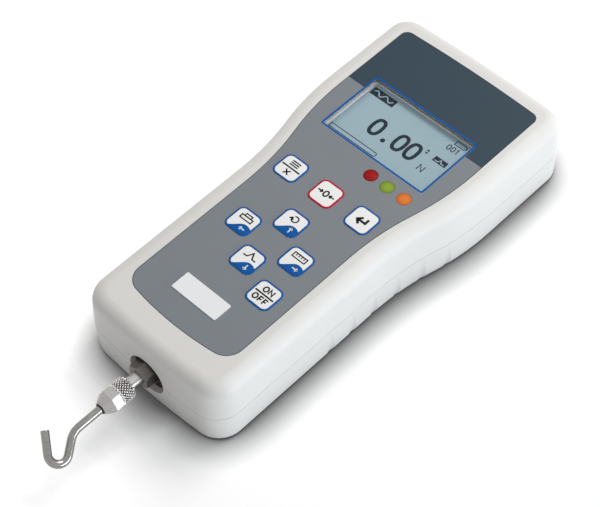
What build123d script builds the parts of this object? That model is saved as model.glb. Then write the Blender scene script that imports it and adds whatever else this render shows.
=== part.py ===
from build123d import *
import os
from math import atan, cos, degrees, radians, sin, sqrt, tan

# Hand-held digital force gauge, lying on its back.
# Frame: origin in the middle of the flat back, +X to the instrument's right,
# +Y towards the display end, +Z up out of the keypad. The hook points along -Y.
# All sizes are in millimetres and all angles in degrees.

# ------------------------------------------------------------ housing shells
housing_length = 175.0
head_width = 80.0
grip_step = 6.8
housing_height = 30.0
parting_height = 13.5
wall = 2.4
roof = 2.2
shoulder_from = -10.0
shoulder_to = 44.0
front_bow = 1.6
rear_bow = 1.0
front_corner = 10.5
rear_corner = 9.0
side_draft = 2.0
top_round = 5.5
back_round = 2.0
cavity_round = 1.6
tongue_thickness = 1.1
tongue_height = 1.6
tongue_gap = 0.1
seam_reveal = 0.2

# grip flutes in the sides of the lower shell
flute_count = 6
flute_pitch = 11.0
flute_first_y = -32.0
flute_radius = 2.6
flute_depth = 0.8
flute_rise = 12.2

# ------------------------------------------------------- keypad and overlay
overlay_head_rim = 8.1
overlay_grip_rim = 8.5
overlay_front_rim = 13.5
overlay_rear_rim = 8.5
overlay_shoulder_from = -14.0
overlay_shoulder_to = 42.0
overlay_front_bow = 2.4
overlay_rear_bow = 0.8
overlay_front_corner = 7.0
overlay_rear_corner = 3.0
overlay_thickness = 1.5
foil_thickness = 0.3
overlay_gap = 0.15

key_size = 10.6
key_corner = 2.6
key_gap = 0.1
key_skirt = 0.4
key_skirt_height = 0.35
key_rest_gap = 0.05
key_proud = 0.3
key_edge_chamfer = 0.2
key_travel = 0.4
key_stop_gap = 0.05
key_row_y = 0.5
key_row_margin = 2.4
arrow_keys_y = -27.7
arrow_keys_dx = 12.6
arrow_keys_dy = 10.7
power_key_x = 14.6
power_key_y = -45.1
dome_radius = 3.4
dome_top_radius = 1.6
dome_height = 0.35

plate_width = 20.7
plate_depth = 7.9
plate_x = -0.6
plate_y = -59.8
plate_thickness = 0.3
plate_corner = 0.5

# ------------------------------------------------------ display and lamps
window_width = 48.5
window_depth = 30.3
window_y = 38.4
window_corner = 0.8
window_gap = 0.05
window_ledge = 0.8
panel_gap = 0.2
panel_thickness = 2.4
panel_air = 1.2
backlight_side = 1.25
backlight_end = 2.0
lamp_diameter = 5.3
lamp_gap = 0.1
lamp_spacing = 5.85
lamp_first_x = 5.7
lamp_pitch = 7.8
lamp_crown = 0.15
lamp_flange_radius = 3.5
lamp_flange_height = 1.2
lamp_chip_height = 1.8
lamp_chip_size = 3.0

# --------------------------------------------------------- main circuit board
board_thickness = 1.6
board_side_room = 5.7
board_front_y = -16.0
board_past_window = 11.45
board_drop = 4.4
board_corner = 2.0
board_screw_inset = 4.0
board_boss_radius = 3.0
connector_width = 15.0
connector_depth = 4.0
connector_height = 2.6
connector_y = -9.0
connector_slot_depth = 1.6
tail_width = 12.0
tail_gap = 0.15
processor_size = 12.0
converter_width = 7.5
small_chip = 5.0
chip_height = 1.5
clock_height = 2.4
chip_row_y = 6.0

# ------------------------------------------------------------------ screws
screw_radius = 1.5
screw_head_radius = 2.75
screw_head_height = 2.0
screw_clearance = 0.2
thread_clearance = 0.05
screw_end_gap = 0.4
drive_width = 0.7
drive_length = 3.0
drive_depth = 1.0
shell_screw_from_side_rear = 7.6
shell_screw_from_rear = 14.5
shell_screw_from_side_front = 7.2
shell_screw_from_front = 12.0
shell_boss_radius = 3.75
shell_counterbore_depth = 4.2
shell_screw_reach = 7.0
board_screw_reach = 4.6

# ------------------------------------------------------- power and sockets
cell_head_room = 0.15
tray_side_room = 3.3
cell_nub_radius = 2.7
cell_nub_length = 1.2
cell_count = 4
cell_spacing = 0.7
tray_floor = 1.0
tray_wall = 1.2
tray_height = 11.0
tray_saddle_height = 5.0
tray_rear_room = 4.2
tray_rib_length = 33.0
cell_gap = 0.25
contact_thickness = 0.5
contact_width = 9.0
contact_height = 8.0
port_board_width = 46.0
port_board_reach = 18.5
port_board_height = 5.4
port_screw_x = 19.0
port_screw_from_rear = 11.5
port_screw_length = 4.2
port_post_radius = 3.2
jack_x = -11.0
jack_width = 9.0
jack_length = 13.0
jack_height = 11.0
jack_axis_lift = 6.5
jack_bore_radius = 3.1
jack_bore_depth = 9.0
jack_pin_radius = 1.0
jack_pin_length = 8.0
socket_hole_radius = 3.7
usb_x = 9.0
usb_width = 7.7
usb_length = 9.2
usb_height = 3.9
usb_shell = 0.5
usb_cavity_depth = 7.0
usb_tongue = 0.8
usb_opening_gap = 0.6
usb_tongue_width = 4.9
port_wall_gap = 0.2
end_cut_depth = 12.0

# ------------------------------------------------------ force-measuring train
axis_lift = 2.5
opening_radius = 8.0
load_cell_from_front = 11.5
load_cell_length = 40.0
load_cell_width = 28.0
load_cell_thickness = 12.0
load_cell_arm = 10.0
load_cell_slot = 1.6
load_cell_bridge = 5.0
load_cell_eye_radius = 5.0
load_cell_eye_spacing = 11.0
load_cell_eye_slot = 3.0
bracket_thickness = 3.0
bracket_width = 43.0
bracket_front_overhang = 2.0
bracket_rear_overhang = 12.0
bracket_upright = 6.0
bracket_lift = 3.0
bracket_corner = 3.0
bracket_screw_x = 18.0
bracket_screw_inset = 10.0
bracket_screw_outset = 8.0
bracket_post_radius = 3.3
bracket_screw_length = 6.2
cell_screw_radius = 2.0
cell_screw_head_radius = 3.5
cell_screw_head_height = 4.0
cell_screw_socket = 3.0
cell_screw_socket_depth = 2.0
cell_screw_x = 8.0
cell_screw_engagement = 7.0
insert_radius = 2.8
insert_bore_radius = 1.65
insert_length = 5.0
insert_boss_radius = 4.5
insert_spacing_x = 24.0
insert_spacing_y = 30.0
insert_from_front = 35.5
insert_seat_gap = 0.02

shaft_radius = 2.5
shaft_fit = 0.05
shaft_collar_radius = 4.2
shaft_collar_gap = 1.0
shaft_collar_chamfer = 0.5
shaft_engagement = 8.6
washer_head_room = 1.5
washer_thickness = 1.5
washer_chamfer = 0.3
washer_gap = 1.0
shaft_nut_flats = 8.6
shaft_nut_length = 6.9
shaft_nut_chamfer = 0.5
shaft_nut_turn = 30.0
neck_length = 4.5
lock_nut_radius = 4.3
lock_nut_length = 5.5
lock_nut_chamfer = 0.5
coupling_gap = 0.15
hook_head_flats = 8.0
hook_prism_length = 3.3
hook_taper_length = 3.5
hook_nose_radius = 2.1
stud_in_head = 2.6
stud_end_gap = 0.4
hook_wire_radius = 1.5
hook_wire_fit = 0.03
hook_wire_seat = 3.0
hook_shank_length = 9.7
hook_bend_radius = 7.2
hook_bend_angle = 40.0
hook_leg_length = 5.0
hook_bowl_radius = 3.6
hook_bowl_angle = 161.0
hook_tip_length = 8.0
hook_tip_round = 0.4
hook_tilt = -40.0

# ------------------------------------------------------------ derived places
front_y = -housing_length / 2
rear_y = housing_length / 2
grip_width = head_width - 2 * grip_step
axis_height = parting_height + axis_lift
overlay_head_width = head_width - 2 * overlay_head_rim
overlay_grip_width = grip_width - 2 * overlay_grip_rim
overlay_front_y = front_y + overlay_front_rim
overlay_rear_y = rear_y - overlay_rear_rim
key_row_pitch = (overlay_grip_width - key_size) / 2 - key_row_margin
lamp_y = window_y - window_depth / 2 - lamp_spacing
board_width = grip_width - 2 * board_side_room
board_rear_y = window_y + window_depth / 2 + board_past_window
recess_floor = housing_height - overlay_thickness - foil_thickness
ceiling = recess_floor - roof
board_top = ceiling - board_drop
board_bottom = board_top - board_thickness
foil_top = recess_floor + foil_thickness
key_top = housing_height + key_proud
key_bottom = foil_top + dome_height + key_travel + key_stop_gap
skirt_top = key_bottom + key_skirt_height
panel_top = recess_floor - panel_air
panel_bottom = panel_top - panel_thickness
port_board_top = port_board_height + board_thickness
port_board_front_y = rear_y - port_board_reach
bracket_bottom = wall + bracket_lift
bracket_top = bracket_bottom + bracket_thickness
load_cell_front_y = front_y + load_cell_from_front
load_cell_rear_y = load_cell_front_y + load_cell_length
bracket_rear_y = load_cell_rear_y + bracket_rear_overhang
insert_centre_y = front_y + insert_from_front
washer_radius = ceiling - axis_height - washer_head_room
washer_front_y = front_y + wall + washer_gap
washer_rear_y = washer_front_y + washer_thickness
shaft_nut_front_y = washer_front_y - shaft_nut_length
lock_nut_rear_y = shaft_nut_front_y - neck_length
lock_nut_front_y = lock_nut_rear_y - lock_nut_length
hook_head_rear_y = lock_nut_front_y - coupling_gap
hook_taper_y = hook_head_rear_y - hook_prism_length
hook_nose_y = hook_taper_y - hook_taper_length
stud_end_y = hook_head_rear_y - stud_in_head

key_places = {
    "key_menu": (-key_row_pitch, key_row_y),
    "key_zero": (0.0, key_row_y),
    "key_enter": (key_row_pitch, key_row_y),
    "key_print": (-arrow_keys_dx, arrow_keys_y),
    "key_units": (arrow_keys_dx, arrow_keys_y),
    "key_reset": (0.0, arrow_keys_y + arrow_keys_dy),
    "key_mode": (0.0, arrow_keys_y - arrow_keys_dy),
    "key_power": (power_key_x, power_key_y),
}
lamp_places = [(lamp_first_x + lamp_pitch * step, lamp_y) for step in range(3)]
shell_screw_places = [
    (side * across, along)
    for across, along in (
        (grip_width / 2 - shell_screw_from_side_front, front_y + shell_screw_from_front),
        (head_width / 2 - shell_screw_from_side_rear, rear_y - shell_screw_from_rear),
    )
    for side in (-1, 1)
]
board_screw_places = [
    (side * (board_width / 2 - board_screw_inset), along)
    for along in (board_front_y + board_screw_inset, board_rear_y - board_screw_inset)
    for side in (-1, 1)
]
bracket_screw_places = [
    (side * bracket_screw_x, along)
    for along in (
        load_cell_front_y + bracket_screw_inset,
        load_cell_rear_y + bracket_screw_outset,
    )
    for side in (-1, 1)
]
insert_places = [
    (side * insert_spacing_x / 2, insert_centre_y + end * insert_spacing_y / 2)
    for end in (-1, 1)
    for side in (-1, 1)
]
port_screw_places = [(side * port_screw_x, rear_y - port_screw_from_rear) for side in (-1, 1)]
cell_bottom = wall + tray_floor + cell_gap
cell_top = board_bottom - screw_head_height - cell_head_room
cell_radius = (cell_top - cell_bottom) / 2
cell_pitch = 2 * cell_radius + cell_spacing
cell_axis_height = cell_bottom + cell_radius
tray_half_width = grip_width / 2 - wall - tray_side_room
contact_x = tray_half_width - tray_wall - contact_thickness
cell_length = 2 * (contact_x - cell_nub_length)
tray_rear_y = port_board_front_y - tray_rear_room
cell_places = [
    tray_rear_y - tray_wall - cell_gap - cell_radius - cell_pitch * step
    for step in range(cell_count - 1, -1, -1)
]
tray_front_y = cell_places[0] - cell_radius - cell_gap - tray_wall


# ------------------------------------------------------------- small helpers
def slab(sketch, bottom, top):
    """Extrude a flat outline between two heights."""
    return extrude(Pos(0, 0, bottom) * sketch, top - bottom)


def post(x, y, radius, bottom, top):
    """Upright round post or hole between two heights."""
    return Pos(x, y, (bottom + top) / 2) * Cylinder(radius, top - bottom)


def block(width, depth, bottom, top, x=0.0, y=0.0):
    """Upright box centred on x, y between two heights."""
    return Pos(x, y, (bottom + top) / 2) * Box(width, depth, top - bottom)


def rod(radius, y_from, y_to, x=0.0, z=None):
    """Round bar or bore along Y, on the force axis unless x and z say otherwise."""
    height = axis_height if z is None else z
    bar = Cylinder(radius, abs(y_to - y_from))
    return Pos(x, (y_from + y_to) / 2, height) * Rot(90, 0, 0) * bar


def hex_bar(flats, y_from, y_to, turn=0.0):
    """Hexagonal bar along the force axis; unturned, it has a flat on top."""
    outline = Plane.XZ * RegularPolygon(flats / sqrt(3), 6, rotation=turn)
    bar = extrude(outline, (y_to - y_from) / 2, both=True)
    return Pos(0, (y_from + y_to) / 2, axis_height) * bar


def plan_outline(front, rear, grip_half, head_half, shoulder, bows, corners):
    """Outline from above: narrow grip, S-shaped shoulders, wide head, bowed ends."""
    shoulder_start, shoulder_end = shoulder
    grip_end = front + bows[0]
    head_end = rear - bows[1]
    middle = ((grip_half + head_half) / 2, (shoulder_start + shoulder_end) / 2)
    right = [
        Line((grip_half, grip_end), (grip_half, shoulder_start)),
        TangentArc((grip_half, shoulder_start), middle, tangent=(0, 1)),
        TangentArc((head_half, shoulder_end), middle, tangent=(0, -1)),
        Line((head_half, shoulder_end), (head_half, head_end)),
    ]
    left = [mirror(edge, Plane.YZ) for edge in right]
    ends = [
        ThreePointArc((-grip_half, grip_end), (0, front), (grip_half, grip_end)),
        ThreePointArc((-head_half, head_end), (0, rear), (head_half, head_end)),
    ]
    outline = make_face([*right, *left, *ends])
    for along, radius in ((grip_end, corners[0]), (head_end, corners[1])):
        sharp = [v for v in outline.vertices() if abs(v.Y - along) < 1e-6]
        outline = fillet(sharp, radius)
    return outline


def housing_plan(inset=0.0):
    """Housing outline at the parting line, moved inwards by inset."""
    outline = plan_outline(
        front_y,
        rear_y,
        grip_width / 2,
        head_width / 2,
        (shoulder_from, shoulder_to),
        (front_bow, rear_bow),
        (front_corner, rear_corner),
    )
    return offset(outline, -inset) if inset else outline


def overlay_plan(growth=0.0):
    """Keypad overlay outline, moved outwards by growth."""
    outline = plan_outline(
        overlay_front_y,
        overlay_rear_y,
        overlay_grip_width / 2,
        overlay_head_width / 2,
        (overlay_shoulder_from, overlay_shoulder_to),
        (overlay_front_bow, overlay_rear_bow),
        (overlay_front_corner, overlay_rear_corner),
    )
    return offset(outline, growth) if growth else outline


def housing_side_x(y):
    """Half width of the housing at the parting line, at a place along the side."""
    grip_half = grip_width / 2
    rise = head_width / 2 - grip_half
    run = shoulder_to - shoulder_from
    radius = (run**2 + rise**2) / (4 * rise)
    if y <= shoulder_from:
        return grip_half
    if y >= shoulder_to:
        return head_width / 2
    if y <= (shoulder_from + shoulder_to) / 2:
        return grip_half + radius - sqrt(radius**2 - (y - shoulder_from) ** 2)
    return grip_half + rise - radius + sqrt(radius**2 - (shoulder_to - y) ** 2)


def half_shell(inset, height, edge_round):
    """Drafted block that stands on the parting plane, with its far edge rounded."""
    solid = extrude(housing_plan(inset), height, taper=side_draft)
    far_face = solid.faces().sort_by(Axis.Z)[-1]
    return fillet(far_face.edges(), edge_round)


def above_parting(solid):
    """Move a block that stands on the XY plane up to the parting plane."""
    return Pos(0, 0, parting_height) * solid


def below_parting(solid):
    """Hang a block that stands on the XY plane down from the parting plane."""
    return Pos(0, 0, parting_height) * mirror(solid, Plane.XY)


def rim_band(outer_inset, inner_inset, height):
    """Band that follows the housing wall, standing on the parting plane."""
    band = housing_plan(outer_inset) - housing_plan(inner_inset)
    return slab(band, parting_height, parting_height + height)


def end_openings():
    """Shaft opening in the front wall and the two socket holes in the rear wall."""
    jack_axis = port_board_top + jack_axis_lift
    usb_axis = port_board_top + usb_height / 2
    usb_hole = RectangleRounded(
        usb_width + 2 * usb_opening_gap, usb_height + 2 * usb_opening_gap, usb_opening_gap
    )
    return [
        rod(opening_radius, front_y - wall, front_y + end_cut_depth, 0, parting_height),
        rod(socket_hole_radius, rear_y - end_cut_depth, rear_y + wall, jack_x, jack_axis),
        Pos(usb_x, rear_y + wall, usb_axis) * extrude(
            Plane.XZ * usb_hole, end_cut_depth + wall
        ),
    ]


def screw(x, y, seat, tip, radius, head_radius, head_height):
    """Pan-head screw: its head starts at the seat, on the side away from the tip."""
    up = 1 if tip > seat else -1
    head_far = seat - up * head_height
    low, high = sorted((seat, tip))
    shank = post(x, y, radius, low, high)
    low, high = sorted((seat, head_far))
    head = post(x, y, head_radius, low, high)
    low, high = sorted((head_far, head_far + up * drive_depth))
    for width, depth in ((drive_length, drive_width), (drive_width, drive_length)):
        head -= block(width, depth, low, high, x, y)
    return head + shank


# --------------------------------------------------------------- the shells
def make_lower_shell():
    """Back half: floor, wall with tongue, bosses, posts, tray ribs and flutes."""
    shell = below_parting(half_shell(0.0, parting_height, back_round))
    shell -= below_parting(half_shell(wall, parting_height - wall, cavity_round))
    shell += rim_band(wall - tongue_thickness, wall, tongue_height)

    web_top = parting_height - tongue_height
    for x, y in shell_screw_places:
        side = 1 if x > 0 else -1
        web_length = housing_side_x(y) - wall / 2 - abs(x)
        shell += post(x, y, shell_boss_radius, wall, parting_height)
        shell += block(web_length, tray_wall, wall, web_top, x + side * web_length / 2, y)
    for x, y in insert_places:
        shell += post(x, y, insert_boss_radius, wall, bracket_bottom)
    for x, y in bracket_screw_places:
        shell += post(x, y, bracket_post_radius, wall, bracket_bottom)
    for x, y in port_screw_places:
        shell += post(x, y, port_post_radius, wall, port_board_height)
    rib_height = wall + tray_floor + cell_radius / 2
    for along in (
        tray_front_y - cell_gap - tray_wall / 2,
        tray_rear_y + cell_gap + tray_wall / 2,
    ):
        shell += block(tray_rib_length, tray_wall, wall, rib_height, 0, along)

    for x, y in shell_screw_places:
        seat = shell_counterbore_depth
        shell -= post(x, y, screw_radius + screw_clearance, 0, parting_height)
        shell -= post(x, y, screw_head_radius + screw_clearance, 0, seat)
    for x, y in insert_places:
        shell -= post(x, y, insert_radius + insert_seat_gap, 0, insert_length)
    screw_floor = bracket_top - bracket_screw_length - screw_end_gap
    for x, y in bracket_screw_places:
        shell -= post(x, y, screw_radius + thread_clearance, screw_floor, bracket_bottom)
    screw_floor = port_board_top - port_screw_length - screw_end_gap
    for x, y in port_screw_places:
        shell -= post(x, y, screw_radius + thread_clearance, screw_floor, port_board_height)

    wall_lean = tan(radians(side_draft))
    lean = Rot(0, degrees(atan(wall_lean + flute_depth / flute_rise)), 0)
    back_drop = parting_height * wall_lean
    for step in range(flute_count):
        y = flute_first_y + flute_pitch * step
        x = housing_side_x(y) - back_drop + flute_radius - flute_depth
        tool = Pos(x, y, 0) * lean * Cylinder(flute_radius, 2 * flute_rise)
        shell -= tool
        shell -= mirror(tool, Plane.YZ)
    for opening in end_openings():
        shell -= opening
    return shell


def make_upper_shell():
    """Front half: crowned top with overlay recess, window, groove and bosses."""
    shell = above_parting(half_shell(0.0, housing_height - parting_height, top_round))
    shell -= above_parting(half_shell(wall, ceiling - parting_height, cavity_round))
    shell -= slab(overlay_plan(overlay_gap), recess_floor, housing_height)

    for x, y in shell_screw_places:
        shell += post(x, y, shell_boss_radius, parting_height, ceiling)
    for x, y in board_screw_places:
        shell += post(x, y, board_boss_radius, board_top, ceiling)

    groove_depth = tongue_height + tongue_gap
    shell -= rim_band(wall - tongue_thickness - tongue_gap, wall + tongue_gap, groove_depth)
    hole = screw_radius + thread_clearance
    for x, y in shell_screw_places:
        top = parting_height + shell_screw_reach + screw_end_gap
        shell -= post(x, y, hole, parting_height, top)
    for x, y in board_screw_places:
        top = board_top + board_screw_reach + screw_end_gap
        shell -= post(x, y, hole, board_top, top)

    window = Rectangle(
        window_width - 2 * window_ledge, window_depth - 2 * window_ledge
    )
    shell -= slab(Pos(0, window_y) * window, ceiling, recess_floor)
    for x, y in lamp_places:
        shell -= post(x, y, lamp_diameter / 2 + lamp_gap, ceiling, recess_floor)
    slot_width = tail_width + 2 * tail_gap
    slot_depth = foil_thickness + 2 * tail_gap
    shell -= block(slot_width, slot_depth, ceiling, recess_floor, 0, connector_y)
    for opening in end_openings():
        shell -= opening
    return shell - rim_band(-wall, seam_reveal, seam_reveal)


def make_shell_screws():
    """Four screws that enter from the back and pull the shells together."""
    tip = parting_height + shell_screw_reach
    return [
        screw(x, y, shell_counterbore_depth, tip, screw_radius, screw_head_radius, screw_head_height)
        for x, y in shell_screw_places
    ]


def make_mounting_inserts():
    """Four threaded bushes, flush with the back, that take the stand's screws."""
    return [
        post(x, y, insert_radius, 0, insert_length)
        - post(x, y, insert_bore_radius, 0, insert_length)
        for x, y in insert_places
    ]


# ------------------------------------------------------- overlay and keypad
def display_cutouts(bottom, top):
    """Window and lamp holes shared by the overlay and the membrane."""
    window = RectangleRounded(
        window_width + 2 * window_gap, window_depth + 2 * window_gap, window_corner
    )
    cuts = [slab(Pos(0, window_y) * window, bottom, top)]
    for x, y in lamp_places:
        cuts.append(post(x, y, lamp_diameter / 2 + lamp_gap, bottom, top))
    return cuts


def key_outline(growth=0.0):
    """Rounded square of a key, grown all round."""
    side = key_size + 2 * growth
    return RectangleRounded(side, side, key_corner + growth)


def make_keypad_overlay():
    """Printed front sheet on its spacer, with a lipped pocket for each key."""
    sheet = slab(overlay_plan(), foil_top, housing_height)
    lip_bottom = skirt_top + key_rest_gap
    for x, y in key_places.values():
        mouth = Pos(x, y) * key_outline(key_gap)
        pocket = Pos(x, y) * key_outline(key_skirt + key_gap)
        sheet -= slab(mouth, lip_bottom, housing_height)
        sheet -= slab(pocket, foil_top, lip_bottom)
    for cut in display_cutouts(foil_top, housing_height):
        sheet -= cut
    return sheet


def make_membrane_circuit():
    """Circuit foil under the keys, with its tail down to the main board."""
    foil = slab(overlay_plan(), recess_floor, foil_top)
    for cut in display_cutouts(recess_floor, foil_top):
        foil -= cut
    tail_bottom = board_top + connector_height - connector_slot_depth + tail_gap
    return foil + block(tail_width, foil_thickness, tail_bottom, foil_top, 0, connector_y)


def make_key_domes():
    """Sprung steel snap dome with a flat top under each key."""
    dome = Cone(dome_radius, dome_top_radius, dome_height)
    middle = foil_top + dome_height / 2
    return [Pos(x, y, middle) * dome for x, y in key_places.values()]


def make_key(x, y):
    """Key cap: face that stands proud of the overlay and a skirt under its lip."""
    cap = slab(Pos(x, y) * key_outline(), skirt_top, key_top)
    cap = chamfer(cap.faces().sort_by(Axis.Z)[-1].edges(), key_edge_chamfer)
    return cap + slab(Pos(x, y) * key_outline(key_skirt), key_bottom, skirt_top)


def make_rating_plate():
    """Blank plate on the overlay, below the keys."""
    outline = RectangleRounded(plate_width, plate_depth, plate_corner)
    top = housing_height + plate_thickness
    return slab(Pos(plate_x, plate_y) * outline, housing_height, top)


# --------------------------------------------------------- display and lamps
def make_display_window():
    """Clear pane, flush with the overlay, on the ledge of the upper shell."""
    outline = RectangleRounded(window_width, window_depth, window_corner)
    return slab(Pos(0, window_y) * outline, recess_floor, housing_height)


def make_lcd_panel():
    """Display glass that fills the opening under the pane."""
    side = 2 * (window_ledge + panel_gap)
    return block(window_width - side, window_depth - side, panel_bottom, panel_top, 0, window_y)


def make_lcd_backlight():
    """Light box between the display glass and the main board."""
    width = window_width + 2 * backlight_side
    depth = window_depth + 2 * backlight_end
    box = block(width, depth, board_top, ceiling, 0, window_y)
    side = 2 * window_ledge
    pocket = block(
        window_width - side, window_depth - side, panel_bottom, ceiling, 0, window_y
    )
    return box - pocket


def make_lamp_lens(x, y):
    """Light pipe: crowned face in the overlay and a flange under the roof."""
    radius = lamp_diameter / 2
    ball = (radius**2 + lamp_crown**2) / (2 * lamp_crown)
    section = make_face(
        [
            Line((0, ceiling - lamp_flange_height), (lamp_flange_radius, ceiling - lamp_flange_height)),
            Line((lamp_flange_radius, ceiling - lamp_flange_height), (lamp_flange_radius, ceiling)),
            Line((lamp_flange_radius, ceiling), (radius, ceiling)),
            Line((radius, ceiling), (radius, housing_height)),
            RadiusArc((radius, housing_height), (0, housing_height + lamp_crown), -ball),
            Line((0, housing_height + lamp_crown), (0, ceiling - lamp_flange_height)),
        ]
    )
    return Pos(x, y, 0) * revolve(Plane.XZ * section, Axis.Z)


def make_lamp_chips():
    """Three light-emitting chips on the board, one under each light pipe."""
    return [
        block(lamp_chip_size, lamp_chip_size, board_top, board_top + lamp_chip_height, x, y)
        for x, y in lamp_places
    ]


# --------------------------------------------------------------- main board
def make_main_board():
    """Circuit board, screwed up against the bosses of the upper shell."""
    depth = board_rear_y - board_front_y
    middle = (board_front_y + board_rear_y) / 2
    outline = Pos(0, middle) * RectangleRounded(board_width, depth, board_corner)
    board = slab(outline, board_bottom, board_top)
    for x, y in board_screw_places:
        board -= post(x, y, screw_radius + screw_clearance, board_bottom, board_top)
    return board


def make_board_screws():
    """Four screws that hold the board up."""
    tip = board_top + board_screw_reach
    return [
        screw(x, y, board_bottom, tip, screw_radius, screw_head_radius, screw_head_height)
        for x, y in board_screw_places
    ]


def make_keypad_connector():
    """Connector on the board that takes the tail of the membrane."""
    top = board_top + connector_height
    body = block(connector_width, connector_depth, board_top, top, 0, connector_y)
    slot_width = tail_width + 2 * tail_gap
    slot_depth = foil_thickness + 2 * tail_gap
    return body - block(slot_width, slot_depth, top - connector_slot_depth, top, 0, connector_y)


def make_board_chips():
    """Processor, converter, memory and clock on the board's upper side."""
    top = board_top
    return [
        block(processor_size, processor_size, top, top + chip_height, -processor_size, chip_row_y),
        block(converter_width, small_chip, top, top + chip_height, processor_size, -small_chip),
        block(small_chip, small_chip, top, top + chip_height, 0, chip_row_y),
        block(small_chip, converter_width, top, top + clock_height, 2 * small_chip, chip_row_y),
    ]


# -------------------------------------------------------- power and sockets
def make_battery_tray():
    """Open tray with a round saddle under each cell and a wall at each end."""
    depth = tray_rear_y - tray_front_y
    middle = (tray_front_y + tray_rear_y) / 2
    top = wall + tray_height
    tray = block(2 * tray_half_width, depth, wall, top, 0, middle)
    inner_half = tray_half_width - tray_wall
    saddle_top = wall + tray_saddle_height
    tray -= block(2 * inner_half, depth - 2 * tray_wall, saddle_top, top, 0, middle)
    for y in cell_places:
        saddle = Cylinder(cell_radius + cell_gap, 2 * inner_half)
        tray -= Pos(0, y, cell_axis_height) * Rot(0, 90, 0) * saddle
    return tray


def make_battery_cells():
    """Four round cells side by side, each turned end for end from its neighbour."""
    cells = []
    for step, y in enumerate(cell_places):
        side = 1 if step % 2 == 0 else -1
        can = Pos(-side * cell_nub_length / 2, 0, 0) * Rot(0, 90, 0) * Cylinder(
            cell_radius, cell_length + cell_nub_length
        )
        nub_x = side * (cell_length / 2 + cell_nub_length / 2)
        nub = Pos(nub_x, 0, 0) * Rot(0, 90, 0) * Cylinder(cell_nub_radius, cell_nub_length)
        cells.append(Pos(0, y, cell_axis_height) * (can + nub))
    return cells


def make_battery_contacts():
    """Contact plates at both ends of every cell."""
    bottom = cell_axis_height - contact_height / 2
    plate_x_middle = contact_x + contact_thickness / 2
    return [
        block(
            contact_thickness,
            contact_width,
            bottom,
            bottom + contact_height,
            side * plate_x_middle,
            y,
        )
        for y in cell_places
        for side in (-1, 1)
    ]


def socket_front_y(x):
    """Inner face of the rear wall at a place across, at the sockets."""
    half = head_width / 2
    bow_radius = (half**2 + rear_bow**2) / (2 * rear_bow)
    drop = bow_radius - sqrt(bow_radius**2 - x**2)
    draft_allowance = parting_height * tan(radians(side_draft))
    return rear_y - drop - wall - draft_allowance - port_wall_gap


def make_port_board():
    """Small board on two posts that carries the sockets."""
    rear = socket_front_y(port_board_width / 2)
    depth = rear - port_board_front_y
    middle = (rear + port_board_front_y) / 2
    board = block(port_board_width, depth, port_board_height, port_board_top, 0, middle)
    for x, y in port_screw_places:
        board -= post(x, y, screw_radius + screw_clearance, port_board_height, port_board_top)
    return board


def make_port_screws():
    """Two screws that hold the small board."""
    tip = port_board_top - port_screw_length
    return [
        screw(x, y, port_board_top, tip, screw_radius, screw_head_radius, screw_head_height)
        for x, y in port_screw_places
    ]


def make_power_jack():
    """Barrel jack for the charger, with its centre pin."""
    face = socket_front_y(jack_x - jack_width / 2)
    axis = port_board_top + jack_axis_lift
    top = port_board_top + jack_height
    body = block(jack_width, jack_length, port_board_top, top, jack_x, face - jack_length / 2)
    body -= rod(jack_bore_radius, face - jack_bore_depth, face, jack_x, axis)
    pin_root = face - jack_bore_depth
    return body + rod(jack_pin_radius, pin_root, pin_root + jack_pin_length, jack_x, axis)


def make_usb_socket():
    """Small data socket: folded shell with a contact tongue inside."""
    face = socket_front_y(usb_x + usb_width / 2)
    top = port_board_top + usb_height
    middle = (port_board_top + top) / 2
    body = block(usb_width, usb_length, port_board_top, top, usb_x, face - usb_length / 2)
    body -= block(
        usb_width - 2 * usb_shell,
        usb_cavity_depth,
        port_board_top + usb_shell,
        top - usb_shell,
        usb_x,
        face - usb_cavity_depth / 2,
    )
    tongue_length = usb_cavity_depth - usb_shell
    tongue_y = face - usb_cavity_depth + tongue_length / 2
    low, high = middle - usb_tongue / 2, middle + usb_tongue / 2
    return body + block(usb_tongue_width, tongue_length, low, high, usb_x, tongue_y)


# --------------------------------------------------- force-measuring train
def make_load_cell():
    """S-shaped spring body: two end arms joined by a beam with a double eye."""
    half = load_cell_width / 2
    bottom = axis_height - load_cell_thickness / 2
    top = axis_height + load_cell_thickness / 2
    middle = (load_cell_front_y + load_cell_rear_y) / 2
    body = block(load_cell_width, load_cell_length, bottom, top, 0, middle)
    for side, y in (
        (1, load_cell_front_y + load_cell_arm + load_cell_slot / 2),
        (-1, load_cell_rear_y - load_cell_arm - load_cell_slot / 2),
    ):
        length = load_cell_width - load_cell_bridge
        slot_x = side * (half - length / 2)
        body -= block(length, load_cell_slot, bottom, top, slot_x, y)
    for side in (-1, 1):
        body -= post(side * load_cell_eye_spacing / 2, middle, load_cell_eye_radius, bottom, top)
    body -= block(load_cell_eye_spacing, load_cell_eye_slot, bottom, top, 0, middle)
    body -= rod(shaft_radius + shaft_fit, load_cell_front_y, load_cell_front_y + load_cell_arm)
    for side in (-1, 1):
        tip = load_cell_rear_y - cell_screw_engagement - screw_end_gap
        hole = cell_screw_radius + thread_clearance
        body -= rod(hole, tip, load_cell_rear_y, side * cell_screw_x)
    return body


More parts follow.
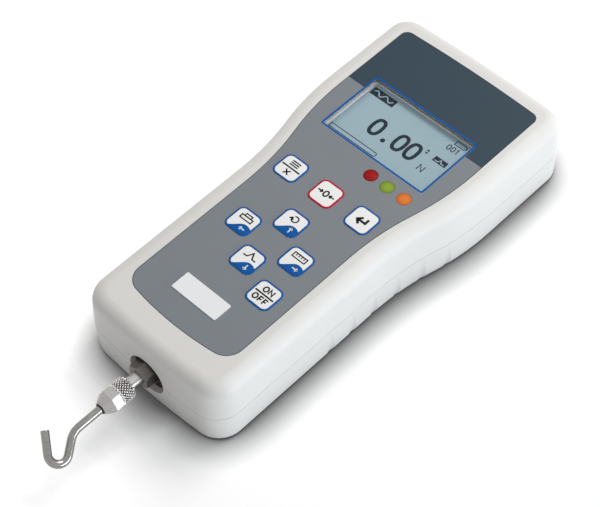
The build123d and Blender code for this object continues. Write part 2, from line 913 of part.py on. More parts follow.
def make_cell_bracket():
    """Machined foot: base plate on the posts, upright that holds the load cell."""
    front = load_cell_front_y - bracket_front_overhang
    depth = bracket_rear_y - front
    outline = RectangleRounded(bracket_width, depth, bracket_corner)
    plate = slab(Pos(0, (front + bracket_rear_y) / 2) * outline, bracket_bottom, bracket_top)
    top = axis_height + load_cell_thickness / 2
    upright_y = load_cell_rear_y + bracket_upright / 2
    bracket = plate + block(load_cell_width, bracket_upright, bracket_top, top, 0, upright_y)
    for side in (-1, 1):
        hole = cell_screw_radius + screw_clearance
        rear = load_cell_rear_y + bracket_upright
        bracket -= rod(hole, load_cell_rear_y, rear, side * cell_screw_x)
    for x, y in bracket_screw_places:
        bracket -= post(x, y, screw_radius + screw_clearance, bracket_bottom, bracket_top)
    return bracket


def make_bracket_screws():
    """Four screws that hold the bracket to the posts of the lower shell."""
    tip = bracket_top - bracket_screw_length
    return [
        screw(x, y, bracket_top, tip, screw_radius, screw_head_radius, screw_head_height)
        for x, y in bracket_screw_places
    ]


def make_cell_screws():
    """Two socket-head screws through the upright into the load cell."""
    seat = load_cell_rear_y + bracket_upright
    screws = []
    for side in (-1, 1):
        x = side * cell_screw_x
        head = rod(cell_screw_head_radius, seat, seat + cell_screw_head_height, x)
        shank = rod(cell_screw_radius, load_cell_rear_y - cell_screw_engagement, seat, x)
        recess = Plane.XZ * RegularPolygon(cell_screw_socket / sqrt(3), 6)
        key_hole = Pos(x, seat + cell_screw_head_height, axis_height) * extrude(
            recess, cell_screw_socket_depth
        )
        screws.append(head + shank - key_hole)
    return screws


def make_measuring_shaft():
    """Shaft from the load cell out through the opening, with a collar and a stud."""
    shaft = rod(shaft_radius, stud_end_y, load_cell_front_y + shaft_engagement)
    collar_rear = load_cell_front_y - shaft_collar_gap
    collar = rod(shaft_collar_radius, washer_rear_y, collar_rear)
    return shaft + chamfer(collar.edges().filter_by(GeomType.CIRCLE), shaft_collar_chamfer)


def make_dust_washer():
    """Round plate behind the front wall that keeps dirt out of the opening."""
    disc = rod(washer_radius, washer_front_y, washer_rear_y)
    disc = chamfer(disc.edges().filter_by(GeomType.CIRCLE), washer_chamfer)
    return disc - rod(shaft_radius + shaft_fit, washer_front_y, washer_rear_y)


def make_shaft_nut():
    """Hexagonal nut that clamps the washer against the shaft's collar."""
    limit = rod(shaft_nut_flats / sqrt(3), shaft_nut_front_y, washer_front_y)
    limit = chamfer(limit.edges().filter_by(GeomType.CIRCLE), shaft_nut_chamfer)
    nut = hex_bar(shaft_nut_flats, shaft_nut_front_y, washer_front_y, shaft_nut_turn) & limit
    return nut - rod(shaft_radius + shaft_fit, shaft_nut_front_y, washer_front_y)


def make_lock_nut():
    """Round knurled nut that locks the hook on the stud."""
    body = rod(lock_nut_radius, lock_nut_front_y, lock_nut_rear_y)
    body = chamfer(body.edges().filter_by(GeomType.CIRCLE), lock_nut_chamfer)
    return body - rod(shaft_radius + shaft_fit, lock_nut_front_y, lock_nut_rear_y)


def make_hook_head():
    """Hexagonal head of the hook, tapered towards the wire."""
    prism = hex_bar(hook_head_flats, hook_taper_y, hook_head_rear_y)
    wide = Plane.XZ * RegularPolygon(hook_head_flats / sqrt(3), 6)
    narrow = Plane.XZ * RegularPolygon(hook_nose_radius * 2 / sqrt(3), 6)
    taper = loft(
        [
            Pos(0, hook_nose_y, axis_height) * narrow,
            Pos(0, hook_taper_y, axis_height) * wide,
        ]
    )
    head = prism + taper
    stud_room = hook_head_rear_y - stud_in_head - stud_end_gap
    head -= rod(shaft_radius + shaft_fit, stud_room, hook_head_rear_y)
    wire_room = hook_nose_y + hook_wire_seat
    return head - rod(hook_wire_radius + hook_wire_fit, hook_nose_y, wire_room)


def make_hook_wire():
    """Bent wire hook: shank, gentle bend, leg, bowl and tip, in one tilted plane."""
    across = (cos(radians(hook_tilt)), 0, sin(radians(hook_tilt)))
    bend_plane = Plane(
        origin=(0, hook_nose_y + hook_wire_seat, axis_height),
        x_dir=(0, -1, 0),
        z_dir=(-across[2], 0, across[0]),
    )
    shank = Line((0, 0), (hook_wire_seat + hook_shank_length, 0))
    bend = JernArc(shank @ 1, shank % 1, hook_bend_radius, hook_bend_angle)
    leg = PolarLine(bend @ 1, hook_leg_length, direction=bend % 1)
    bowl = JernArc(leg @ 1, leg % 1, hook_bowl_radius, -hook_bowl_angle)
    tip = PolarLine(bowl @ 1, hook_tip_length, direction=bowl % 1)
    path = bend_plane * Wire([shank, bend, leg, bowl, tip])
    start = Plane(origin=path @ 0, z_dir=path % 0)
    wire = sweep(start * Circle(hook_wire_radius), path=path)
    end_point = path @ 1
    end_face = wire.faces().sort_by_distance(end_point)[0]
    return fillet(end_face.edges(), hook_tip_round)


# ------------------------------------------------------------- write them out
def as_solids(shape):
    """List of the separate solids in a shape or in a list of shapes."""
    if isinstance(shape, list):
        return [solid for piece in shape for solid in piece.solids()]
    return shape.solids()


def save(name, shape):
    """Write one node's solids to its own file."""
    solids = as_solids(shape)
    whole = solids[0] if len(solids) == 1 else Compound(children=list(solids))
    export_step(whole, f"parts/{name}.step")
    print(name, len(solids))


def main():
    """Build every node and write it to the parts folder."""
    os.makedirs("parts", exist_ok=True)
    nodes = {
        "lower_shell": make_lower_shell(),
        "upper_shell": make_upper_shell(),
        "shell_screws": make_shell_screws(),
        "mounting_inserts": make_mounting_inserts(),
        "keypad_overlay": make_keypad_overlay(),
        "membrane_circuit": make_membrane_circuit(),
        "key_domes": make_key_domes(),
        "rating_plate": make_rating_plate(),
        "display_window": make_display_window(),
        "lcd_panel": make_lcd_panel(),
        "lcd_backlight": make_lcd_backlight(),
        "lamp_chips": make_lamp_chips(),
        "main_board": make_main_board(),
        "board_screws": make_board_screws(),
        "keypad_connector": make_keypad_connector(),
        "board_chips": make_board_chips(),
        "battery_tray": make_battery_tray(),
        "battery_cells": make_battery_cells(),
        "battery_contacts": make_battery_contacts(),
        "port_board": make_port_board(),
        "port_screws": make_port_screws(),
        "power_jack": make_power_jack(),
        "usb_socket": make_usb_socket(),
        "load_cell": make_load_cell(),
        "cell_bracket": make_cell_bracket(),
        "bracket_screws": make_bracket_screws(),
        "cell_screws": make_cell_screws(),
        "measuring_shaft": make_measuring_shaft(),
        "dust_washer": make_dust_washer(),
        "shaft_nut": make_shaft_nut(),
        "lock_nut": make_lock_nut(),
        "hook_head": make_hook_head(),
        "hook_wire": make_hook_wire(),
    }
    for name, place in key_places.items():
        nodes[name] = make_key(*place)
    for colour, place in zip(("red", "green", "amber"), lamp_places):
        nodes[f"lamp_{colour}"] = make_lamp_lens(*place)
    for name, shape in nodes.items():
        save(name, shape)


main()
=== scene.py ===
"""Looks of a hand-held digital force gauge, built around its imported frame.

All sizes in the classes are in millimetres and are turned into metres when a mesh is made.
The frame's axes hold here too: +X right, +Y to the display end, +Z up, hook along -Y.
"""

import logging
import math
from dataclasses import dataclass, field
from enum import Enum
from typing import Sequence

import bmesh
import bpy
import numpy as np
from mathutils import Matrix, Vector

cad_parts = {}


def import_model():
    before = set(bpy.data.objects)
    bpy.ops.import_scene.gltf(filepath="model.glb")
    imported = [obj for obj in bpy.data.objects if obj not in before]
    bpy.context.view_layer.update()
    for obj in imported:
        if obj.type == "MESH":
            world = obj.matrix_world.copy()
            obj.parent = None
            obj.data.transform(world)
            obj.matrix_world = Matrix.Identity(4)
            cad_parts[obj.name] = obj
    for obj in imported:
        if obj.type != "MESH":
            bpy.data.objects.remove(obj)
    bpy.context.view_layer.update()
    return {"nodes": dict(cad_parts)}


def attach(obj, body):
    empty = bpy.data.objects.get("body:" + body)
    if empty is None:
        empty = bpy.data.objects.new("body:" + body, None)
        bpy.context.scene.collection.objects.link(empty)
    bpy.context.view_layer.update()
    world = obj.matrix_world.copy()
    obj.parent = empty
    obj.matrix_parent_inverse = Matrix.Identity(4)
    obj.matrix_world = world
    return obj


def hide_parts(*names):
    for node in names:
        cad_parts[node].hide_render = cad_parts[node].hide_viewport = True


Point2 = tuple[float, float]
Point3 = tuple[float, float, float]
Span = tuple[float, float]
Colour = tuple[float, float, float]
Surface = tuple[np.ndarray, np.ndarray]
Socket = bpy.types.NodeSocket
Material = bpy.types.Material

LOG = logging.getLogger("force_gauge")
MM = 0.001
NOISE_BAND = (0.3, 0.7)  # nearly all values of a noise pattern lie between these
DOUBLES_WITHIN = 1e-7  # metres between points that are one point
SHORTEST_EDGE = 1e-8  # metres below which an edge is closed up


def srgb(red: int, green: int, blue: int) -> Colour:
    """Linear colour of a screen colour given as three numbers from 0 to 255.

    Formula: each share s is s / 12.92 below 0.04045, else ((s + 0.055) / 1.055) to the power 2.4.

    Args:
        red: Red share.
        green: Green share.
        blue: Blue share.

    Returns:
        The three linear shares.
    """
    shares = np.array([red, green, blue]) / 255.0
    linear = np.where(shares <= 0.04045, shares / 12.92, ((shares + 0.055) / 1.055) ** 2.4)
    return tuple(float(value) for value in linear)


def scaled(colour: Colour, factor: float, lift: float = 0.0) -> Colour:
    """Colour made lighter or darker by a factor and a lift, at most white."""
    return tuple(min(1.0, share * factor + lift) for share in colour)


# ---------------------------------------------------------------- finishes
def calculate(tree: bpy.types.NodeTree, operation: str, *values: Socket) -> Socket:
    """Add a math node that works on one value or two.

    Args:
        tree: Node tree that takes the node.
        operation: Blender's name of the operation.
        values: What it works on.

    Returns:
        The result.
    """
    node = tree.nodes.new("ShaderNodeMath")
    node.operation = operation
    for value, socket in zip(values, node.inputs):
        tree.links.new(value, socket)
    return node.outputs[0]


def seen_by_eye(tree: bpy.types.NodeTree) -> Socket:
    """Socket that is 1 for camera, glossy and transmission rays.

    Args:
        tree: Node tree that takes the nodes.

    Returns:
        The largest of the three shares.
    """
    rays = tree.nodes.new("ShaderNodeLightPath").outputs
    direct = calculate(tree, "MAXIMUM", rays["Is Camera Ray"], rays["Is Glossy Ray"])
    return calculate(tree, "MAXIMUM", direct, rays["Is Transmission Ray"])


class Graph:
    """Node tree of one material, built around its Principled shader."""

    def __init__(self, name: str) -> None:
        """Start an empty material.

        Args:
            name: Name of the material.
        """
        self.material = bpy.data.materials.new(name)
        self.material.use_nodes = True
        self.tree = self.material.node_tree
        self.shader = self.tree.nodes["Principled BSDF"]
        self._place = self.add("ShaderNodeTexCoord").outputs["Object"]

    def add(self, kind: str, **settings: object) -> bpy.types.Node:
        """Add a node and set its properties by name.

        Args:
            kind: Blender's type name of the node.
            settings: Properties of the node.

        Returns:
            The new node.
        """
        node = self.tree.nodes.new(kind)
        for key, value in settings.items():
            setattr(node, key, value)
        return node

    def join(self, source: Socket, target: Socket) -> None:
        """Link two sockets."""
        self.tree.links.new(source, target)

    def set(self, **values: float) -> None:
        """Set sockets of the shader; an underscore in a name stands for a space."""
        for key, value in values.items():
            self.shader.inputs[key.replace("_", " ")].default_value = value

    def place(
        self, centre: Sequence[float] = (0, 0, 0), stretch: Sequence[float] = (1, 1, 1)
    ) -> Socket:
        """Object coordinates moved so that centre is their origin, then stretched.

        Args:
            centre: Centre of the pattern in millimetres.
            stretch: Factor along each axis.

        Returns:
            The vector socket.
        """
        node = self.add("ShaderNodeMapping")
        node.inputs["Scale"].default_value = tuple(stretch)
        offset = [-c * MM * s for c, s in zip(centre, stretch)]
        node.inputs["Location"].default_value = offset
        self.join(self._place, node.inputs["Vector"])
        return node.outputs["Vector"]

    def noise(
        self, cell: float, detail: float = 2.0, stretch: Sequence[float] = (1, 1, 1)
    ) -> Socket:
        """Soft random pattern.

        Args:
            cell: Size of one blot in millimetres.
            detail: Octaves added on top.
            stretch: Factor along each axis, above 1 where the blots are narrower.

        Returns:
            A value socket from 0 to 1.
        """
        node = self.add("ShaderNodeTexNoise")
        node.inputs["Scale"].default_value = 1.0 / (cell * MM)
        node.inputs["Detail"].default_value = detail
        self.join(self.place(stretch=stretch), node.inputs["Vector"])
        return node.outputs["Fac"]

    def tiles(
        self, vector: Socket, unit: float, line: float, shift: float, shape: Point2
    ) -> Socket:
        """Net of lines between rows of tiles.

        Args:
            vector: Where the pattern is read.
            unit: Length of the pattern's unit in millimetres.
            line: Width of the lines as a share of the unit.
            shift: Share of a tile by which every second row is moved along.
            shape: Width and height of a tile in units.

        Returns:
            A value socket that is 1 on the lines.
        """
        node = self.add("ShaderNodeTexBrick", offset=shift)
        values = (1.0 / (unit * MM), line, *shape)
        for key, value in zip(("Scale", "Mortar Size", "Brick Width", "Row Height"), values):
            node.inputs[key].default_value = value
        self.join(vector, node.inputs["Vector"])
        return node.outputs["Fac"]

    def ranged(
        self, value: Socket, low: float, high: float, to_low: float = 0.0, to_high: float = 1.0
    ) -> Socket:
        """Straight-line change of range, held at both ends.

        Args:
            value: The value to change.
            low: Value that becomes to_low.
            high: Value that becomes to_high.
            to_low: Result at low.
            to_high: Result at high.

        Returns:
            The new value socket.
        """
        node = self.add("ShaderNodeMapRange")
        for key, number in zip(
            ("From Min", "From Max", "To Min", "To Max"), (low, high, to_low, to_high)
        ):
            node.inputs[key].default_value = number
        self.join(value, node.inputs["Value"])
        return node.outputs["Result"]

    def blend(self, share: Socket, first: Colour | Socket, second: Colour | Socket) -> Socket:
        """Mix two colours.

        Args:
            share: Share of the second colour.
            first: Colour at share 0.
            second: Colour at share 1.

        Returns:
            The colour socket.
        """
        node = self.add("ShaderNodeMix", data_type="RGBA")
        colour_inputs = [s for s in node.inputs if s.type == "RGBA"]
        factor = next(s for s in node.inputs if s.type == "VALUE")
        self.join(share, factor)
        for socket, colour in zip(colour_inputs, (first, second)):
            if isinstance(colour, Socket):
                self.join(colour, socket)
            else:
                socket.default_value = (*colour, 1.0)
        return next(s for s in node.outputs if s.type == "RGBA")

    def axis(self, vector: Socket, letter: str) -> Socket:
        """One part of a vector, in metres.

        Args:
            vector: The vector.
            letter: X, Y or Z.

        Returns:
            The value socket.
        """
        node = self.add("ShaderNodeSeparateXYZ")
        self.join(vector, node.inputs["Vector"])
        return node.outputs[letter]

    def length(self, vector: Socket) -> Socket:
        """Length of a vector.

        Args:
            vector: The vector.

        Returns:
            The value socket.
        """
        node = self.add("ShaderNodeVectorMath", operation="LENGTH")
        self.join(vector, node.inputs[0])
        return node.outputs["Value"]

    def paint(self, colour: Socket) -> None:
        """Send a colour to the shader."""
        self.join(colour, self.shader.inputs["Base Color"])

    def roughen(self, pattern: Socket, low: float, high: float) -> None:
        """Let the roughness run from low to high with a noise pattern."""
        uneven = self.ranged(pattern, *NOISE_BAND, low, high)
        self.join(uneven, self.shader.inputs["Roughness"])

    def emboss(self, height: Socket, depth: float) -> None:
        """Bump the surface.

        Args:
            height: Pattern from 0 to 1.
            depth: Depth of the pattern in millimetres.
        """
        node = self.add("ShaderNodeBump")
        node.inputs["Distance"].default_value = depth * MM
        node.inputs["Strength"].default_value = 1.0
        self.join(height, node.inputs["Height"])
        self.join(node.outputs["Normal"], self.shader.inputs["Normal"])


@dataclass(frozen=True)
class Finish:
    """Finish of a piece. Each kind adds its own nodes to the material."""

    name: str

    def make(self) -> Material:
        """Build the material.

        Returns:
            The new material.
        """
        graph = Graph(self.name)
        self.fill(graph)
        return graph.material

    def fill(self, graph: Graph) -> None:
        """Add the nodes of this kind of finish; a plain one has none."""


@dataclass(frozen=True)
class MouldedPlastic(Finish):
    """Moulded plastic with a fine spark texture and faint cloudiness."""

    colour: Colour
    shade: Colour
    roughness: float = 0.5
    grain: float = 0.35
    grain_depth: float = 0.02
    cloud: float = 22.0
    patches_per_cloud: float = 3.0
    detail: float = 3.0
    smoother: float = 0.05
    rougher: float = 0.06
    gloss: float = 0.3

    def fill(self, graph: Graph) -> None:
        """Add the clouds, the grain and the uneven gloss.

        Args:
            graph: Graph of the material.
        """
        graph.paint(graph.blend(graph.noise(self.cloud, self.detail), self.colour, self.shade))
        graph.emboss(graph.noise(self.grain, self.detail), self.grain_depth)
        low, high = self.roughness - self.smoother, self.roughness + self.rougher
        graph.roughen(graph.noise(self.cloud / self.patches_per_cloud), low, high)
        graph.set(Specular_IOR_Level=self.gloss)


@dataclass(frozen=True)
class PrintedFilm(Finish):
    """Printed polyester: one colour up to a line across, another beyond it."""

    colour: Colour
    header: Colour
    header_from: float
    roughness: float = 0.5
    grain: float = 0.22
    grain_depth: float = 0.012
    soften: float = 0.04
    mottle: float = 9.0
    mottle_detail: float = 4.0
    mottle_tone: float = 1.08
    gloss: float = 0.25

    def fill(self, graph: Graph) -> None:
        """Add both mottled colours and the grain.

        Args:
            graph: Graph of the material.
        """
        along = graph.axis(graph.place(), "Y")
        start = self.header_from * MM
        share = graph.ranged(along, start - self.soften * MM, start + self.soften * MM)
        mottled = [
            graph.blend(
                graph.noise(self.mottle, self.mottle_detail), tone, scaled(tone, self.mottle_tone)
            )
            for tone in (self.colour, self.header)
        ]
        graph.paint(graph.blend(share, *mottled))
        graph.emboss(graph.noise(self.grain), self.grain_depth)
        graph.set(Roughness=self.roughness, Specular_IOR_Level=self.gloss)


@dataclass(frozen=True)
class Ink(Finish):
    """Screen-printed ink, with the small thickness changes of a print."""

    colour: Colour
    roughness: float = 0.42
    blot: float = 1.6
    blot_detail: float = 3.0
    thin_tone: float = 1.15
    thin_lift: float = 0.004
    grain: float = 0.25
    grain_depth: float = 0.004
    gloss: float = 0.12

    def fill(self, graph: Graph) -> None:
        """Add the blots and the grain.

        Args:
            graph: Graph of the material.
        """
        thin = scaled(self.colour, self.thin_tone, self.thin_lift)
        graph.paint(graph.blend(graph.noise(self.blot, self.blot_detail), self.colour, thin))
        graph.emboss(graph.noise(self.grain), self.grain_depth)
        graph.set(Roughness=self.roughness, Specular_IOR_Level=self.gloss)


class MarksAlong(Enum):
    """Way in which the tool marks of a metal piece run."""

    TURNED = (1.0, 14.0, 1.0)
    DRAWN = (9.0, 0.35, 9.0)
    BLASTED = (1.0, 1.0, 1.0)


@dataclass(frozen=True)
class Metal(Finish):
    """Bare or plated metal with tool marks, whose darker streaks are partly the marks' own tone
    and partly a painted reflection of a darker surround.
    """

    colour: Colour
    mark_and_reflection_tone: Colour
    roughness: float = 0.25
    marks: MarksAlong = MarksAlong.TURNED
    mark_size: float = 1.2
    mark_detail: float = 4.0
    mark_depth: float = 0.006
    mark_and_reflection_band: Span = (0.35, 0.7)
    smoother: float = 0.06
    rougher: float = 0.08

    def fill(self, graph: Graph) -> None:
        """Add the tool marks, which carry the darker streak tone, gloss and depth alike; the
        streak tone is partly painted reflection.

        Args:
            graph: Graph of the material.
        """
        streaks = graph.noise(self.mark_size, self.mark_detail, self.marks.value)
        # Painted reflection on top of the marks' own tone: the streaks darken the colour as a
        # darker surround would in the mirror.
        tone = graph.ranged(streaks, *self.mark_and_reflection_band)
        graph.paint(graph.blend(tone, self.colour, self.mark_and_reflection_tone))
        graph.roughen(streaks, self.roughness - self.smoother, self.roughness + self.rougher)
        graph.emboss(streaks, self.mark_depth)
        graph.set(Metallic=1.0)


@dataclass(frozen=True)
class ClearPane(Finish):
    """Clear pane: mostly see-through, with a faint haze and a clean gloss."""

    tint: Colour
    haze: float = 0.015
    patch: float = 30.0
    patch_tone: float = 0.96
    roughness: float = 0.08
    gloss: float = 0.5

    def fill(self, graph: Graph) -> None:
        """Add the uneven haze and the gloss.

        Args:
            graph: Graph of the material.
        """
        dull = scaled(self.tint, self.patch_tone)
        graph.paint(graph.blend(graph.noise(self.patch), self.tint, dull))
        graph.set(Alpha=self.haze, Roughness=self.roughness, Specular_IOR_Level=self.gloss)


@dataclass(frozen=True)
class LiquidCrystal(Finish):
    """Pale display glass, lit from behind, with a faint dot raster and a painted shade that
    darkens it towards its edges.
    """

    colour: Colour
    edge: Colour
    centre: Point2
    half: Point2
    edge_shade_width: float = 2.2
    dot: float = 0.38
    dot_line: float = 0.06
    dot_share: float = 0.10
    glow: float = 0.22
    roughness: float = 0.3
    gloss: float = 0.35

    def fill(self, graph: Graph) -> None:
        """Add the painted edge shade, the raster and the light from behind.

        Args:
            graph: Graph of the material.
        """
        vector = graph.place((*self.centre, 0.0))
        # Painted shade: the colour darkens towards the edge tone in a band along each side of the
        # panel.
        sides = []
        for letter, half in zip("XY", self.half):
            away = calculate(graph.tree, "ABSOLUTE", graph.axis(vector, letter))
            sides.append(graph.ranged(away, (half - self.edge_shade_width) * MM, half * MM))
        tone = graph.blend(calculate(graph.tree, "MAXIMUM", *sides), self.colour, self.edge)
        dots = graph.tiles(vector, self.dot, self.dot_line, 0.0, (1.0, 1.0))
        faint = graph.ranged(dots, 0.0, 1.0, 0.0, self.dot_share)
        shown = graph.blend(faint, tone, self.edge)
        graph.paint(shown)
        graph.join(shown, graph.shader.inputs["Emission Color"])
        graph.set(
            Roughness=self.roughness, Specular_IOR_Level=self.gloss, Emission_Strength=self.glow
        )


@dataclass(frozen=True)
class LampLens(Finish):
    """Tinted lens: deeper colour at the rim, lighter in the middle."""

    colour: Colour
    rim: Colour
    centre: Point2
    radius: float
    rim_from: float = 0.45
    ripple: float = 0.6
    ripple_depth: float = 0.01
    roughness: float = 0.32
    gloss: float = 0.14

    def fill(self, graph: Graph) -> None:
        """Add the two tones, which follow the distance from the middle, and the ripple.

        Args:
            graph: Graph of the material.
        """
        away = graph.length(graph.place((*self.centre, 0.0), (1.0, 1.0, 0.0)))
        share = graph.ranged(away, self.rim_from * self.radius * MM, self.radius * MM)
        graph.paint(graph.blend(share, self.colour, self.rim))
        graph.emboss(graph.noise(self.ripple), self.ripple_depth)
        graph.set(Roughness=self.roughness, Specular_IOR_Level=self.gloss)


@dataclass(frozen=True)
class CircuitBoard(Finish):
    """Green lacquered board with the lighter net of its tracks."""

    lacquer: Colour
    track: Colour
    pitch: float = 2.54
    track_width: float = 0.06
    track_shift: float = 0.37
    track_depth: float = 0.03
    track_cell: Point2 = (0.5, 0.25)
    roughness: float = 0.35

    def fill(self, graph: Graph) -> None:
        """Add the net of tracks as colour and relief.

        Args:
            graph: Graph of the material.
        """
        net = graph.tiles(
            graph.place(), self.pitch, self.track_width, self.track_shift, self.track_cell
        )
        graph.paint(graph.blend(net, self.lacquer, self.track))
        graph.emboss(net, self.track_depth)
        graph.set(Roughness=self.roughness)


@dataclass(frozen=True)
class StudioFloor(Finish):
    """White floor whose own light is seen only by the camera, by gloss and through glass.

    Its own light grows with the distance from the instrument, and both this light and the
    colour sink towards a dark tone where the instrument stands close over the floor: a
    painted contact shadow, read from ambient occlusion.
    """

    colour: Colour
    near_lift: float = 0.28
    far_lift: float = 0.74
    centre: Point2 = (90.0, -60.0)
    near: float = 60.0
    far: float = 150.0
    stretch: Point2 = (1.0, 0.5)
    contact_shadow_reach: float = 17.0
    contact_shadow_band: Span = (0.46, 0.93)
    contact_shadow_tone: float = 0.12
    contact_shadow_samples: int = 32
    roughness: float = 0.9
    gloss: float = 0.1

    def fill(self, graph: Graph) -> None:
        """Add the painted contact shadow and the floor's own light.

        Args:
            graph: Graph of the material.
        """
        # Painted contact shadow: the floor darkens where ambient occlusion finds the instrument
        # close by.
        contact = graph.add("ShaderNodeAmbientOcclusion", samples=self.contact_shadow_samples)
        contact.inputs["Distance"].default_value = self.contact_shadow_reach * MM
        openness = graph.ranged(contact.outputs["AO"], *self.contact_shadow_band)
        tone = graph.blend(openness, scaled(self.colour, self.contact_shadow_tone), self.colour)
        graph.paint(tone)
        graph.set(Roughness=self.roughness, Specular_IOR_Level=self.gloss)
        away = graph.length(graph.place((*self.centre, 0.0), (*self.stretch, 1.0)))
        lift = graph.ranged(away, self.near * MM, self.far * MM, self.near_lift, self.far_lift)
        glow = graph.add("ShaderNodeEmission")
        both = graph.add("ShaderNodeAddShader")
        choice = graph.add("ShaderNodeMixShader")
        plain = graph.shader.outputs[0]
        for source, target in (
            (tone, glow.inputs["Color"]),
            (lift, glow.inputs["Strength"]),
            (plain, both.inputs[0]),
            (glow.outputs[0], both.inputs[1]),
            (seen_by_eye(graph.tree), choice.inputs["Fac"]),
            (plain, choice.inputs[1]),
            (both.outputs[0], choice.inputs[2]),
            (choice.outputs[0], graph.tree.nodes["Material Output"].inputs["Surface"]),
        ):
            graph.join(source, target)


# ---------------------------------------------------------------- surfaces
def grid_faces(
    rows: int, columns: int, close_rows: bool = False, close_columns: bool = False
) -> np.ndarray:
    """Four-cornered faces of a grid of points, row by row.

    Formula: the face at row i and column j joins points (i, j), (i, j+1), (i+1, j+1)
    and (i+1, j), where a closed direction wraps round to 0.

    Args:
        rows: Number of rows of points.
        columns: Number of points in a row.
        close_rows: Whether the last row joins the first.
        close_columns: Whether each row is a ring.

    Returns:
        Point numbers, four to a face.
    """
    i, j = np.meshgrid(
        np.arange(rows if close_rows else rows - 1),
        np.arange(columns if close_columns else columns - 1),
        indexing="ij",
    )
    i_next, j_next = (i + 1) % rows, (j + 1) % columns
    corners = (
        i * columns + j, i * columns + j_next, i_next * columns + j_next, i_next * columns + j
    )
    return np.stack(corners, axis=-1).reshape(-1, 4)


def levels(outlines: Sequence[np.ndarray], heights: Sequence[float]) -> np.ndarray:
    """Rows of points made from outlines in plan, each at its own height.

    Args:
        outlines: Rows of x, y, all of one length.
        heights: Height of each outline.

    Returns:
        Points by outline, place along it, and x, y, z.
    """
    return np.stack([np.c_[flat, np.full(len(flat), z)] for flat, z in zip(outlines, heights)])


def bar(corners: Sequence[np.ndarray], low: float, high: float, closed: bool = False) -> Surface:
    """Closed strip with upright sides, carried along two edges.

    Formula: at each place along, a section of four points runs from the first edge below
    to the second edge below, the second above and the first above.

    Args:
        corners: The first and the second edge, as rows of x, y.
        low: Height of the underside.
        high: Height of the upper side.
        closed: Whether the strip is a loop, which has no ends.

    Returns:
        The points and the faces.
    """
    first, second = corners
    sections = levels([first, second, second, first], [low, low, high, high]).swapaxes(0, 1)
    faces = grid_faces(len(first), 4, close_rows=closed, close_columns=True)
    if not closed:
        ends = np.arange(4) + np.array([[0], [4 * (len(first) - 1)]])
        faces = np.concatenate([faces, ends])
    return sections, faces


def turned(place: np.ndarray, radius: np.ndarray, angle: np.ndarray, height: float) -> Surface:
    """Surface turned about a line along Y.

    Formula: at turn a, a point of radius r lies at x = r cos a and z = height + r sin a.

    Args:
        place: Place along Y of each row.
        radius: Radius by row and turn.
        angle: The turns.
        height: Height of the line.

    Returns:
        The points and the faces, closed both ways.
    """
    y = np.broadcast_to(place[:, None], radius.shape)
    points = np.stack([radius * np.cos(angle), y, height + radius * np.sin(angle)], axis=-1)
    return points, grid_faces(*radius.shape, close_rows=True, close_columns=True)


class Pieces:
    """Points and faces of one mesh, gathered from several surfaces, in millimetres."""

    def __init__(self) -> None:
        """Start with nothing."""
        self.points: list[np.ndarray] = []
        self.faces: list[np.ndarray] = []
        self.inks: list[np.ndarray] = []
        self.count = 0

    def add(self, points: np.ndarray, faces: np.ndarray, ink: int | np.ndarray = 0) -> None:
        """Add one surface.

        Args:
            points: Rows of x, y, z.
            faces: Point numbers, four to a face, counted from this surface's first point.
            ink: Number of the finish that the faces wear, for all or for each.
        """
        flat = points.reshape(-1, 3)
        self.points.append(flat)
        self.faces.append(faces + self.count)
        self.inks.append(np.broadcast_to(ink, len(faces)))
        self.count += len(flat)

    def object(
        self, name: str, body: str, slot: str, finishes: Sequence[Material],
        smooth_below: float = 35.0,
    ) -> bpy.types.Object:
        """Make the object, with doubles merged and faces outwards.

        Args:
            name: Name of the piece.
            body: Body that it rides on.
            slot: Name of the record's material slot; not used.
            finishes: Materials, in the order of the finish numbers.
            smooth_below: Angle in degrees up to which an edge is shaded smooth.

        Returns:
            The new object.
        """
        mesh = bpy.data.meshes.new(name)
        points = np.concatenate(self.points) * MM
        mesh.from_pydata(points.tolist(), [], np.concatenate(self.faces).tolist())
        mesh.polygons.foreach_set("material_index", np.concatenate(self.inks).astype(np.int32))
        for finish in finishes:
            mesh.materials.append(finish)
        work = bmesh.new()
        work.from_mesh(mesh)
        bmesh.ops.remove_doubles(work, verts=work.verts, dist=DOUBLES_WITHIN)
        bmesh.ops.dissolve_degenerate(work, edges=work.edges, dist=SHORTEST_EDGE)
        bmesh.ops.recalc_face_normals(work, faces=work.faces)
        work.to_mesh(mesh)
        work.free()
        mesh.shade_smooth()
        mesh.set_sharp_from_angle(angle=math.radians(smooth_below))
        piece = bpy.data.objects.new(name, mesh)
        bpy.context.scene.collection.objects.link(piece)
        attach(piece, body)
        LOG.info("piece %s on %s: %d faces", name, body, len(mesh.polygons))
        return piece


def rounded_box(half_x: float, half_y: float, corner: float, steps: int = 8) -> np.ndarray:
    """Outline of a rectangle with round corners, anticlockwise.

    Formula: each corner is a quarter circle of the given radius about a centre that lies
    that radius inside both sides.

    Args:
        half_x: Half width.
        half_y: Half depth.
        corner: Corner radius.
        steps: Points in a corner.

    Returns:
        Rows of x, y.
    """
    turn = np.linspace(0, np.pi / 2, steps)
    angle = np.arange(4)[:, None] * np.pi / 2 + turn
    sign_x, sign_y = np.array([1, -1, -1, 1]), np.array([1, 1, -1, -1])
    x = sign_x[:, None] * (half_x - corner) + corner * np.cos(angle)
    y = sign_y[:, None] * (half_y - corner) + corner * np.sin(angle)
    return np.stack([x, y], axis=-1).reshape(-1, 2)


def oval(half_x: float, half_y: float, power: float = 2.0, steps: int = 32) -> np.ndarray:
    """Outline of an oval, anticlockwise.

    Formula: x is half_x times the signed cosine to the power 2 / power, y the same with
    the sine, so that power 2 is an ellipse and a larger one is squarer.

    Args:
        half_x: Half width.
        half_y: Half height.
        power: Squareness.
        steps: Number of points.

    Returns:
        Rows of x, y.
    """
    angle = np.linspace(0, 2 * np.pi, steps, endpoint=False)
    wave = np.stack([np.cos(angle), np.sin(angle)], axis=-1)
    return (half_x, half_y) * np.sign(wave) * np.abs(wave) ** (2 / power)


